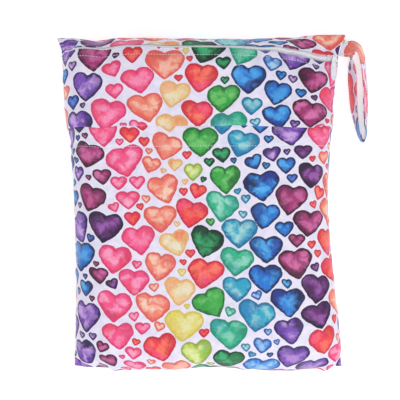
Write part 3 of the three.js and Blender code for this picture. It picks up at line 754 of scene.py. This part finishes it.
def vectorCalc(operation, *values, **more):
    inputs = {f"_{i}": value for i, value in enumerate(values)}
    node = addNode("VectorMath", {"operation": operation}, **inputs, **more)
    return node.outputs["Value" if operation in ("DOT_PRODUCT", "DISTANCE") else "Vector"]


def softStep(value, low, high):
    node = addNode("MapRange", {"interpolation_type": "SMOOTHSTEP"}, Value=value, From_Min=low, From_Max=high)
    return node.outputs["Result"]


def blended(share, *colours):
    # two colours, each an output or sRGB hex
    first, second = ((*linearOf(colour), 1) if isinstance(colour, str) else colour for colour in colours)
    return addNode("Mix", {"data_type": "RGBA"}, Factor=share, _6=first, _7=second).outputs[2]


def readField(name, output="Vector"):
    return addNode("Attribute", {"attribute_name": name}).outputs[output]


def noiseAt(at, scale, output="Fac", **more):
    return addNode("TexNoise", Vector=at, Scale=scale, **more).outputs[output]


def bumpFrom(height, strength, distance, **more):
    return addNode("Bump", Height=height, Strength=strength, Distance=distance, **more).outputs["Normal"]


# How the paint lies in a heart: sizes in mm, steps between two levels, and shares
watercolour = {
    "ownPatch": 90, "wobble": 0.09, "wobbleSize": 8, "spokes": 3.4, "spokePatch": 50.0, "inwardPace": 0.16,
    "washSize": 11, "grainSize": 2.0, "middleAt": 0.3,
    "bloom": {"uneven": 1.7, "inMiddle": 0.42, "step": (0.06, 0.46), "varies": 0.5},
    "blot": {"uneven": 1.0, "turn": 1.0, "step": (0.08, 0.34), "varies": 0.7},
    "pool": {"uneven": 1.1, "turn": 0.0, "step": (0.1, 0.42), "varies": 0.85},
    "rim": {"streaks": (0.34, 0.72), "grows": 0.11, "least": 1.9, "step": (0.4, 1.0), "strength": 0.92},
    "granules": {"grain": 0.36, "streak": 0.2, "base": 0.68}, "edge": (-0.3, 0.15),
}


def watercolourHeart(at):
    # the colour of the heart under this point and how far the point is inside it
    f, w = heartForm, watercolour
    radius, centre, square = heartArcs()
    dice = readField("heartDice")
    dieA, dieB, dieC = addNode("SeparateXYZ", Vector=dice).outputs
    tall = readField("heartTall", "Fac")
    apart = vectorCalc("SUBTRACT", at, readField("heartAt"))
    own = vectorCalc("MULTIPLY_ADD", dice, (w["ownPatch"],) * 3, at)  # each heart has its own patch of noise
    # brush wobble of the outline, as a share of the heart
    wobble = addNode("SeparateColor", Color=noiseAt(own, 1 / w["wobbleSize"], "Color", Detail=2.0)).outputs
    x, y = (
        scaled(minus(stray, 0.5), w["wobble"], vectorCalc("DOT_PRODUCT", apart, readField(name)))
        for stray, name in zip(wobble, ("heartAcross", "heartUp"))
    )
    side = calc("SQRT", scaled(x, x, f["soft"] ** 2))
    point = addNode("CombineXYZ", X=side, Y=calc("ADD", y, f["middle"])).outputs[0]
    lobe = minus(vectorCalc("DISTANCE", point, (f["lobeX"], f["lobeY"], 0)), f["lobe"])
    flank = minus(vectorCalc("DISTANCE", point, (*centre, 0)), radius)
    meets = square[0] * f["lobeX"] + square[1] * f["lobeY"]
    top = minus(vectorCalc("DOT_PRODUCT", point, (*square, 0)), meets)
    level = calc("MINIMUM", lobe, calc("MAXIMUM", flank, top))
    # in mm, with the ink spread a little past the drawn outline
    depth = scaled(times(level, tall), -1.0, printDesign["inkSpread"])
    # pigment: streaks run in from the rim, washes pool and granules settle
    outwards = vectorCalc("NORMALIZE", addNode("CombineXYZ", X=x, Y=y).outputs[0])
    ownSpokes = vectorCalc("SCALE", dice, Scale=w["spokePatch"])
    spokes = vectorCalc("MULTIPLY_ADD", outwards, (w["spokes"], w["spokes"], 0), ownSpokes)
    inwards = addNode("CombineXYZ", Z=times(depth, w["inwardPace"])).outputs[0]
    streak = noiseAt(vectorCalc("ADD", spokes, inwards), 1.0, Detail=3.0)
    wash = noiseAt(own, 1 / w["washSize"], "Color", Detail=3.0, Roughness=0.55, Distortion=0.5)
    washA, washB, washC = (minus(share, 0.5) for share in addNode("SeparateColor", Color=wash).outputs)
    grain = noiseAt(own, 1 / w["grainSize"], Detail=2.0, Roughness=0.6)

    def varied(row, patch, die):
        # a patch of paint whose strength differs from heart to heart
        share = scaled(die, row["varies"], 1 - row["varies"])
        return times(softStep(patch, *row["step"]), share)

    def towards(row, wash, die):
        # towards one side of the heart, which the die names
        angle = scaled(die, 2 * math.pi, row["turn"])
        way = calc("ADD", times(x, calc("COSINE", angle)), times(y, calc("SINE", angle)))
        return scaled(wash, row["uneven"], way)

    middle = calc("DIVIDE", depth, times(tall, w["middleAt"]))
    bloom = scaled(washA, w["bloom"]["uneven"], times(middle, w["bloom"]["inMiddle"]))
    bloom = varied(w["bloom"], bloom, dieB)
    blot = varied(w["blot"], towards(w["blot"], washB, dieB), dieC)
    pooled = varied(w["pool"], towards(w["pool"], washC, dieA), dieC)
    row = w["rim"]
    rimWidth = scaled(times(tall, softStep(streak, *row["streaks"])), row["grows"], row["least"])
    rim = times(minus(1.0, softStep(calc("DIVIDE", depth, rimWidth), *row["step"])), row["strength"])
    ink = readField("heartMain", "Color")
    layers = {"heartBloom": bloom, "heartBlot": blot, "heartRim": calc("MAXIMUM", rim, pooled)}
    for name, share in layers.items():
        ink = blended(share, ink, readField(name, "Color"))
    row = w["granules"]
    granules = scaled(grain, row["grain"], scaled(streak, row["streak"], row["base"]))
    return vectorCalc("SCALE", ink, Scale=granules), softStep(depth, *w["edge"])


def printedKnit():
    # polyester knit laminated for waterproofing, then printed: smooth and satin, with a fine soft grain
    material, shader = startMaterial(
        "laminated polyester knit, printed", Roughness=0.5, IOR=1.45, Sheen_Weight=0.1, Sheen_Roughness=0.4
    )
    at = readField("clothAt")
    ink, inside = watercolourHeart(at)
    mottle = noiseAt(at, 1 / 9, Detail=3.0, Roughness=0.6)
    ground = blended(softStep(mottle, 0.3, 0.7), "EDE7F8", "DDD9F0")
    # knit grain: real loops are 0.35 mm, drawn at 0.9 mm so that the grain shows
    weave = addNode("TexVoronoi", {"feature": "SMOOTH_F1"}, Vector=at, Scale=1 / 0.9, Smoothness=0.5)
    loops = bumpFrom(weave.outputs["Distance"], 0.12, 0.00008)
    crumple = bumpFrom(noiseAt(at, 1 / 9, Detail=3.0, Roughness=0.5), 0.5, 0.0006, Normal=loops)
    setInputs(shader, Base_Color=blended(inside, ground, ink), Normal=crumple)
    return material


def wovenTape():
    # polyester zip tape: matt, ribbed along the zip, with painted shade in the grooves between its ribs
    material, shader = startMaterial("woven polyester tape", Roughness=0.8, IOR=1.45)
    at = readField("clothAt")
    ribs = addNode("TexWave", {"bands_direction": "Y"}, Vector=at, Scale=0.42, Distortion=0.5).outputs["Fac"]
    # the tape's colour follows the ribs' height, a little darker where they dip: painted shade in the grooves
    setInputs(shader, Base_Color=blended(ribs, "EDF0F8", "FAFBFF"), Normal=bumpFrom(ribs, 0.5, 0.0002))
    return material


def nylonCoil():
    # drawn nylon monofilament: smooth, slightly glossy
    material, shader = startMaterial("nylon monofilament coil", Roughness=0.35, IOR=1.53)
    tone = noiseAt(addNode("TexCoord").outputs["Object"], 220.0, Detail=1.0)
    setInputs(shader, Base_Color=blended(tone, "EEF0F8", "FCFCFF"))
    return material


def lacqueredZinc():
    # die-cast zinc under pale lacquer: smooth, with worn and dusty flecks
    material, shader = startMaterial("lacquered die-cast zinc", Roughness=0.3, IOR=1.5, Coat_Weight=0.3)
    tone = noiseAt(addNode("TexCoord").outputs["Object"], 260.0, Detail=4.0, Roughness=0.65)
    flecks = blended(softStep(tone, 0.4, 0.8), "E9EAF3", "CDD0DD")
    setInputs(shader, Base_Color=flecks, Normal=bumpFrom(tone, 0.15, 0.0001))
    return material


def sewingThread():
    # spun polyester thread: matt, plied
    material, shader = startMaterial("spun polyester thread", Roughness=0.75)
    ply = noiseAt(addNode("TexCoord").outputs["Object"], 1500.0, Detail=1.0)
    setInputs(shader, Base_Color=blended(ply, "F2F0F8", "FFFFFF"))
    return material


def finishPiece(piece, material, slot, *nodes):
    piece.data.materials.append(material)
    if nodes:
        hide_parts(*nodes)


# Panels
panelMaking = {
    "pitch": 1.5, "backPitch": 2.4, "grooveDepth": 0.45, "grooveHalf": 0.9, "seamWall": 0.25, "seamReach": 2.4,
}


def foldedEdge(distance, wall):
    # half the wall's height lost on a quarter circle within half a wall of a folded edge
    radius = 0.5 * wall
    return radius * (1 - np.sqrt(np.clip(1 - (1 - np.clip(distance / radius, 0, 1)) ** 2, 0, 1)))


def seamTaper(a, b):
    # the cloth turns in to the seam line over its last millimetres
    return mix(panelMaking["seamWall"], 1, smooth(np.minimum(*fromSeams(a, b)) / panelMaking["seamReach"]))


def lapWave(a):
    # how far down the lap's edge strays: a soft wave, and one short tuck upwards
    s = lapSize
    return s["wave"] * noise(a / s["wavePitch"], 3.3, 7) - s["tuck"] * bell((a - s["tuckAt"]) / s["tuckWidth"])


def lapLift(a, b):
    # the lap climbs over the pocket's edge, where it gapes at one spot and stands off in soft waves
    s = lapSize
    rampStart = pocketTop - s["coilWidth"] - s["ramp"]
    raised = (bagSize["wall"] + bagSize["gap"]) * smooth((b - rampStart) / s["ramp"])
    gape = s["gapeLift"] * bell((a - s["gapeAt"]) / s["gapeWidth"])
    free = s["waveLift"] * np.maximum(0, noise(a / s["liftPitch"], 8.1, 8))
    return raised + (gape + free) * smooth((b - pocketTop) / s["cover"])


def slotHalf(a):
    # the cloth's folded edges lie on the coil at the left and draw back from it towards the slider
    z = zipSize
    return mix(z["closedHalf"], z["openHalf"], smooth((a - z["openFrom"]) / z["openOver"]))


def besideSlot(a, b):
    # cloth cut for the slot's full width comes this much nearer the coil
    z = zipSize
    above = smooth((b - stripEdge + z["drawReach"]) / z["drawReach"])
    below = smooth((upperEdge + z["drawReach"] - b) / z["drawReach"])
    return b + (z["slot"] / 2 - slotHalf(a)) * np.where(b < z["line"], above, -below)


def coilLift(a, b):
    # where the slot is drawn closed, the cloth's edges lie up on the coil
    z = zipSize
    closed = (z["slot"] / 2 - slotHalf(a)) / (z["slot"] / 2 - z["closedHalf"])
    near = smooth((z["closedHalf"] + z["liftPast"] - abs(besideSlot(a, b) - z["line"])) / z["liftFade"])
    return z["edgeLift"] * np.maximum(0, closed) * near


def makePanels(knit):
    p, wall, lapEdge = panelMaking, bagSize["wall"], lapSize["edge"]
    level = lambda A, B: 0 * A
    asCut = lambda A, B: B
    onLap = lambda A, B: lapLift(A, B) + coilLift(A, B)
    waved = lambda A, B: besideSlot(A, B) + lapWave(A) * smooth((B - lapEdge) / lapSize["cover"] + 1)
    # fine wrinkles along the strip squash its print, and the back's is seen from its other side
    panels = table(
        "name node start end folded grooves lift laid stations printScale printFrom restsOn",
        ("topStrip", "top_strip", 0, stripEdge, [stripEdge], [stripCrease], coilLift, besideSlot,
         ((0, stripCrease, stripEdge), 0.4, 1.5), (1, 1.5), (14, 160), "zip_tape_upper"),
        ("upperPanel", "upper_panel", upperEdge, lapEdge, [upperEdge, lapEdge], [upperStitch], onLap, waved,
         ((upperEdge, upperStitch, lapEdge), 0.4, 1.5), (1, 1), (0, 0), "pocket_panel"),
        ("pocketPanel", "pocket_panel", pocketTop, bagHeight, [], [hemAt], level, asCut,
         ((lapEdge, hemAt, bagHeight), 0.45, 1.5), (1, 1), (7, -36), "back_panel"),
        ("backPanel", "back_panel", 0, bagHeight, [], [], level, asCut,
         ((0, bagHeight), 0.8, 3), (-1, 1), (40, 120), "bag"),
    )
    for row in panels:
        front = row["name"] != "backPanel"
        pitch, seamPitch = (p["pitch"], 0.5) if front else (p["backPitch"], 0.8)
        a = spreadStations(0, bagWidth, pitch, (0, bagWidth), seamPitch, 3)
        b = spreadStations(row["start"], row["end"], pitch, *row["stations"])
        turned = lambda B: sum(foldedEdge(abs(B - edge), wall) for edge in row["folded"])
        drawn = lambda B: sum(p["grooveDepth"] * bell((B - line) / p["grooveHalf"]) for line in row["grooves"])
        lower = lambda A, B: row["lift"](A, B) + turned(B)
        upper = lambda A, B: row["lift"](A, B) + wall * seamTaper(A, B) - turned(B) - drawn(B)
        panel, place, faces = wallOf(row["name"], a, b, lower, upper, front, row["laid"])
        printOn(panel, place * row["printScale"], faces, row["printFrom"])
        finishPiece(panel, knit, "cloth", row["node"])


# Zips
def makeTapes(woven):
    z, gap = zipSize, bagSize["gap"]
    a = spreadStations(z["tapeEnd"], bagWidth - z["tapeEnd"], 2.2)
    coilEnd = pocketTop - gap
    coilStart = coilEnd - lapSize["coilWidth"]
    under, over = (lambda A, B: 0 * A - gap - z["tapeWall"]), (lambda A, B: 0 * A - gap)

    def ridge(A, B):
        # the pocket's coil stands up between its tapes
        flank = lapSize["coilFlank"]
        return lapSize["coilHeight"] * smooth((B - coilStart) / flank) * smooth((coilEnd - B) / flank) - gap

    bands = table(
        "name node stations face",
        ("zipTapeUpper", "zip_tape_upper", (stripEdge - z["tapeReach"], z["line"] - gap / 2, 1.2), over),
        ("zipTapeLower", "zip_tape_lower", (z["line"] + gap / 2, upperEdge + z["tapeReach"], 1.2), over),
        ("pocketZip", "pocket_zip", (coilStart - lapSize["zipReach"], coilEnd + lapSize["zipReach"], 1.4,
                                     (coilStart, coilEnd), 0.4, 1), ridge),
    )
    for band in bands:
        tape, place, _ = wallOf(band["name"], a, spreadStations(*band["stations"]), under, band["face"])
        addField(tape, "clothAt", "FLOAT_VECTOR", "POINT", np.column_stack([place, np.zeros(len(place))]))
        finishPiece(tape, woven, "zip_tape", band["node"])


def tubeTriangles(rings, sides, count=1):
    # the sides and end caps of count tubes: all their rings come first, then their start points, then their
    # end points
    i, j = np.meshgrid(np.arange(rings - 1), np.arange(sides), indexing="ij")
    first, second = i * sides + j, i * sides + (j + 1) % sides
    start = np.arange(count)[:, None] * rings * sides
    quads = np.stack([first, second, second + sides, first + sides], -1).reshape(-1, 4)
    quads = (quads + start[..., None]).reshape(-1, 4)
    j, last = np.arange(sides), start + (rings - 1) * sides
    tip = np.broadcast_to(count * rings * sides + np.arange(count)[:, None], (count, sides))
    near = np.stack([tip, start + (j + 1) % sides, start + j], -1).reshape(-1, 3)
    far = np.stack([tip + count, last + j, last + (j + 1) % sides], -1).reshape(-1, 3)
    return np.concatenate([quads[:, [0, 1, 2]], quads[:, [0, 2, 3]], near, far])


def cappedTubes(name, paths, radii, sides=6):
    # one closed tube along each path: paths (count, steps, 3), radii (steps,)
    count, steps, _ = paths.shape
    tangent = np.gradient(paths, axis=1)
    tangent /= np.linalg.norm(tangent, axis=-1, keepdims=True)
    helper = np.where(abs(tangent[..., 2:3]) < 0.9, [0.0, 0.0, 1.0], [1.0, 0.0, 0.0])
    across = np.cross(tangent, helper)
    across /= np.linalg.norm(across, axis=-1, keepdims=True)
    other = np.cross(tangent, across)
    angle = np.linspace(0, 2 * math.pi, sides, endpoint=False)
    ring = across[:, :, None] * np.cos(angle)[:, None] + other[:, :, None] * np.sin(angle)[:, None]
    points = (paths[:, :, None] + ring * np.asarray(radii)[None, :, None, None]).reshape(-1, 3)
    points = np.concatenate([points, paths[:, 0], paths[:, -1]])
    return pieceFrom(name, points, tubeTriangles(steps, sides, count))


def makeCoil(nylon):
    # teeth from both tapes, a half pitch apart: each is a short arch whose head passes the middle
    z = zipSize
    count = int((bagWidth - 2 * z["coilEnd"]) / z["toothPitch"])
    steps = np.linspace(0, 1, 7)
    arch = np.sin(math.pi * np.clip(steps * 0.75 + 0.1, 0, 1))
    height = mix(z["toothLow"], z["coilHeight"] - z["toothRadius"], arch)
    sway = z["toothSway"] * z["toothPitch"] * np.cos(math.pi * steps)
    paths = []
    for side, shift in ((-1, 0), (1, 0.5)):
        at = z["coilEnd"] + (np.arange(count) + shift) * z["toothPitch"]
        reach = side * mix(z["toothReach"], -z["toothOverlap"], steps)
        A, R = np.meshgrid(at, reach, indexing="ij")
        paths.append(clothPoint(A + sway, z["line"] + R, np.broadcast_to(height, A.shape)))
    radii = z["toothRadius"] * np.array([0.75, 0.95, 1, 1, 1.1, 1.15, 0.8])
    finishPiece(cappedTubes("zipCoil", np.concatenate(paths), radii), nylon, "zip_coil", "zip_coil")


rounding = {"weld": 0.00002, "width": 0.00022, "segments": 2, "sharperThan": 40}


def roundedNode(name, node, body, material, slot):
    # the frame's own piece with its edges rounded
    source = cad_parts[node]
    piece = addObject(name, source.data.copy())
    piece.matrix_world = source.matrix_world
    piece.data.materials.clear()
    piece.modifiers.new("weld", "WELD").merge_threshold = rounding["weld"]
    bevel = piece.modifiers.new("bevel", "BEVEL")
    bevel.width, bevel.segments = rounding["width"], rounding["segments"]
    bevel.limit_method, bevel.angle_limit = "ANGLE", math.radians(rounding["sharperThan"])
    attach(piece, body)
    finishPiece(piece, material, slot, node)


# Topstitching
stitching = {"pitch": 2.7, "length": 2.1, "radius": 0.19, "inset": 5.0, "rise": 0.25, "dip": 0.35}
alongStitch = np.linspace(-0.5, 0.5, 5)
stitchRadii = stitching["radius"] * np.array([0.6, 0.95, 1, 0.95, 0.6])


def stitchLine(start, end):
    # points along each stitch of a row
    count = int((end - start) / stitching["pitch"])
    middles = start + (np.arange(count) + 0.5) * (end - start) / count
    return middles[:, None] + alongStitch * stitching["length"]


def makeTopstitches(thread):
    s = stitching
    A = stitchLine(s["inset"], bagWidth - s["inset"])
    arch = bagSize["wall"] - panelMaking["grooveDepth"] + s["rise"] - s["dip"] * (2 * alongStitch) ** 2 + 0 * A
    paths = []
    for line in (upperStitch, hemAt):
        B = np.full_like(A, line)
        paths.append(clothPoint(A, B, arch + (lapLift(A, B) if line < pocketTop else 0)))
    finishPiece(cappedTubes("topstitches", np.concatenate(paths), stitchRadii), thread, "cloth")


# The strap
def strapCourse():
    s = strapSize
    numbered = [{**row, "i": i / (len(strapPath) - 1)} for i, row in enumerate(strapPath)]
    follow = {key: through(numbered, "i", key) for key in ("x", "y", "lean", "lift")}
    root = (
        bagWidth * edgeCurves["right"](s["rootShare"]) + 2 * bagSize["gap"],
        bagHeight * mix(edgeCurves["top"](1.0), edgeCurves["bottom"](1.0), s["rootShare"]),
    )


    def frameAt(t):
        place = lambda u: np.stack([root[i] + s["reach"] * follow[key](u) for i, key in enumerate("xy")], -1)
        travel = place(np.minimum(1, t + 1e-3)) - place(np.maximum(0, t - 1e-3))
        travel /= np.linalg.norm(travel, axis=-1, keepdims=True)
        lean = np.radians(follow["lean"](t))
        edgeways = np.stack([-travel[:, 1] * np.sin(lean), travel[:, 0] * np.sin(lean), np.cos(lean)], -1)
        forward = np.column_stack([travel, np.zeros(len(t))])
        faceways = np.cross(forward, edgeways)
        height = s["floorGap"] + s["width"] / 2 * np.cos(lean) + s["wall"] / 2 * abs(np.sin(lean))
        height = height + bagSize["seamHeight"] * np.maximum(0, follow["lift"](t))
        return np.column_stack([place(t), height]), edgeways, faceways

    return frameAt


strapMaking = {
    "pitch": 1.1, "around": 64, "squareness": 0.8, "edgeRound": 1.0, "groove": 0.3, "grooveHalf": 0.9,
    "soft": 0.35, "softAlong": 13, "softAcross": 9, "softFrom": 12, "printSquash": 0.8, "otherFace": 45,
    "printFrom": (248, 95), "stitchEnd": 4, "stitchRise": 0.18, "stitchDip": 0.3,
}


def makeStrap(knit, thread):
    s, m = strapSize, strapMaking
    frameAt = strapCourse()
    fine = np.linspace(0, 1, 2000)
    run = np.linalg.norm(np.diff(frameAt(fine)[0], axis=0), axis=1)
    run = np.concatenate([[0], np.cumsum(run)])
    end = run[-1]
    print("strap length", round(end, 1), "mm")
    length = np.linspace(0, end, math.ceil(end / m["pitch"]) + 1)
    t = np.interp(length, run, fine)
    centre, edgeways, faceways = frameAt(t)

    def soft(along, across):
        # the band's own softness, none at its ends
        free = smooth(np.minimum(along, end - along) / m["softFrom"])
        return m["soft"] * noise(along / m["softAlong"], across / m["softAcross"], 9) * free

    # round the section: a flat band with full-round edges, its faces drawn in along the two rows of stitches
    ring = np.linspace(0, 2 * math.pi, m["around"], endpoint=False)
    half = s["width"] / 2
    row = half - s["stitchInset"]
    w = np.sign(np.cos(ring)) * abs(np.cos(ring)) ** m["squareness"] * half
    edge = np.clip((half - abs(w)) / m["edgeRound"], 0, 1)
    thick = s["wall"] / 2 * np.sqrt(1 - (1 - edge) ** 2) - m["groove"] * bell((abs(w) - row) / m["grooveHalf"])
    face = np.sign(np.sin(ring))
    L, W = np.meshgrid(length, w, indexing="ij")
    offset = thick * face + soft(L, W)
    points = centre[:, None] + edgeways[:, None] * W[..., None] + faceways[:, None] * offset[..., None]
    triangles = tubeTriangles(len(length), len(ring))
    strap = pieceFrom("strapLoop", np.concatenate([points.reshape(-1, 3), centre[[0, -1]]]), triangles)
    # the strap is cut across the print, so that its hearts lie on their sides and its inks change along it
    place = np.stack([m["printSquash"] * L, W + np.where(face > 0, 0, m["otherFace"])], -1).reshape(-1, 2)
    place = np.concatenate([place, [[0, 0], [m["printSquash"] * end, 0]]])
    printOn(strap, place, triangles, m["printFrom"])
    finishPiece(strap, knit, "cloth", "strap_loop")

    stitches = stitchLine(m["stitchEnd"], end - m["stitchEnd"])
    u = stitches.ravel()
    centre, edgeways, faceways = frameAt(np.interp(u, length, t))
    arch = s["wall"] / 2 - m["groove"] + m["stitchRise"] - m["stitchDip"] * (2 * alongStitch) ** 2
    arch = np.tile(arch, len(stitches))
    paths = []
    for side in (-row, row):
        for out in (-1, 1):
            lift = out * arch + soft(u, side)
            path = centre + edgeways * side + faceways * lift[:, None]
            paths.append(path.reshape(*stitches.shape, 3))
    finishPiece(cappedTubes("strapStitches", np.concatenate(paths), stitchRadii), thread, "cloth")


# Camera, floor and light: the photograph looks straight down, at 1.03 mm a pixel over 400 pixels, with the
# bag's middle near its own
stage = {
    "pixel": 1.03, "pixels": 400, "middle": (202, 203), "sensor": 36, "distance": 3.2, "lookAt": 0.03,
    "floorHalf": 3.0, "glow": 0.62,
}
lamps = table(
    "name place size power",
    ("key", (0.8, -1.0, 1.5), 1.1, 15),
    ("fill", (-1.2, 0.3, 1.6), 1.4, 6),
)


def setStage():
    s, pixel = stage, stage["pixel"] * mm
    camera = addObject("camera", bpy.data.cameras.new("camera"))
    camera.data.sensor_width = s["sensor"]
    camera.data.lens = s["sensor"] * s["distance"] / (pixel * s["pixels"])
    x, y = (s["pixels"] / 2 - s["middle"][0]) * pixel, (s["middle"][1] - s["pixels"] / 2) * pixel
    camera.location = (x, y, s["lookAt"] + s["distance"])
    bpy.context.scene.camera = camera

    floor = squareAt("floor", s["floorHalf"], 0)
    # opal acrylic, lit a little from beneath as a product table is, so that it stays white round the bag
    material, _ = startMaterial(
        "opal acrylic light table", Base_Color=(0.6, 0.6, 0.6, 1), Roughness=0.6,
        Emission_Color=(1, 1, 1, 1), Emission_Strength=s["glow"],
    )
    floor.data.materials.append(material)

    world = bpy.data.worlds.new("studio")
    world.use_nodes = True
    background = world.node_tree.nodes["Background"]
    background.inputs["Color"].default_value = (1, 1, 1, 1)
    background.inputs["Strength"].default_value = s["glow"]
    bpy.context.scene.world = world
    for lamp in lamps:
        light = addObject(lamp["name"], bpy.data.lights.new(lamp["name"], "AREA"))
        light.data.size, light.data.energy = lamp["size"], lamp["power"]
        light.location = lamp["place"]
        light.rotation_euler = (-Vector(lamp["place"])).to_track_quat("-Z", "Y").to_euler()
    # plain tones, so that white paper comes out white
    bpy.context.scene.view_settings.view_transform = "Standard"


setStage()
print("stage set")
settleCloth()
print("cloth settled")
knit, woven, nylon, zinc, thread = printedKnit(), wovenTape(), nylonCoil(), lacqueredZinc(), sewingThread()
makePanels(knit)
print("panels made")
makeTapes(woven)
makeCoil(nylon)
roundedNode("zipSlider", "zip_slider", "bag", zinc, "zip_metal")
roundedNode("zipPull", "zip_pull", "pull", zinc, "zip_metal")
print("zips made")
makeTopstitches(thread)
makeStrap(knit, thread)
print("strap made")
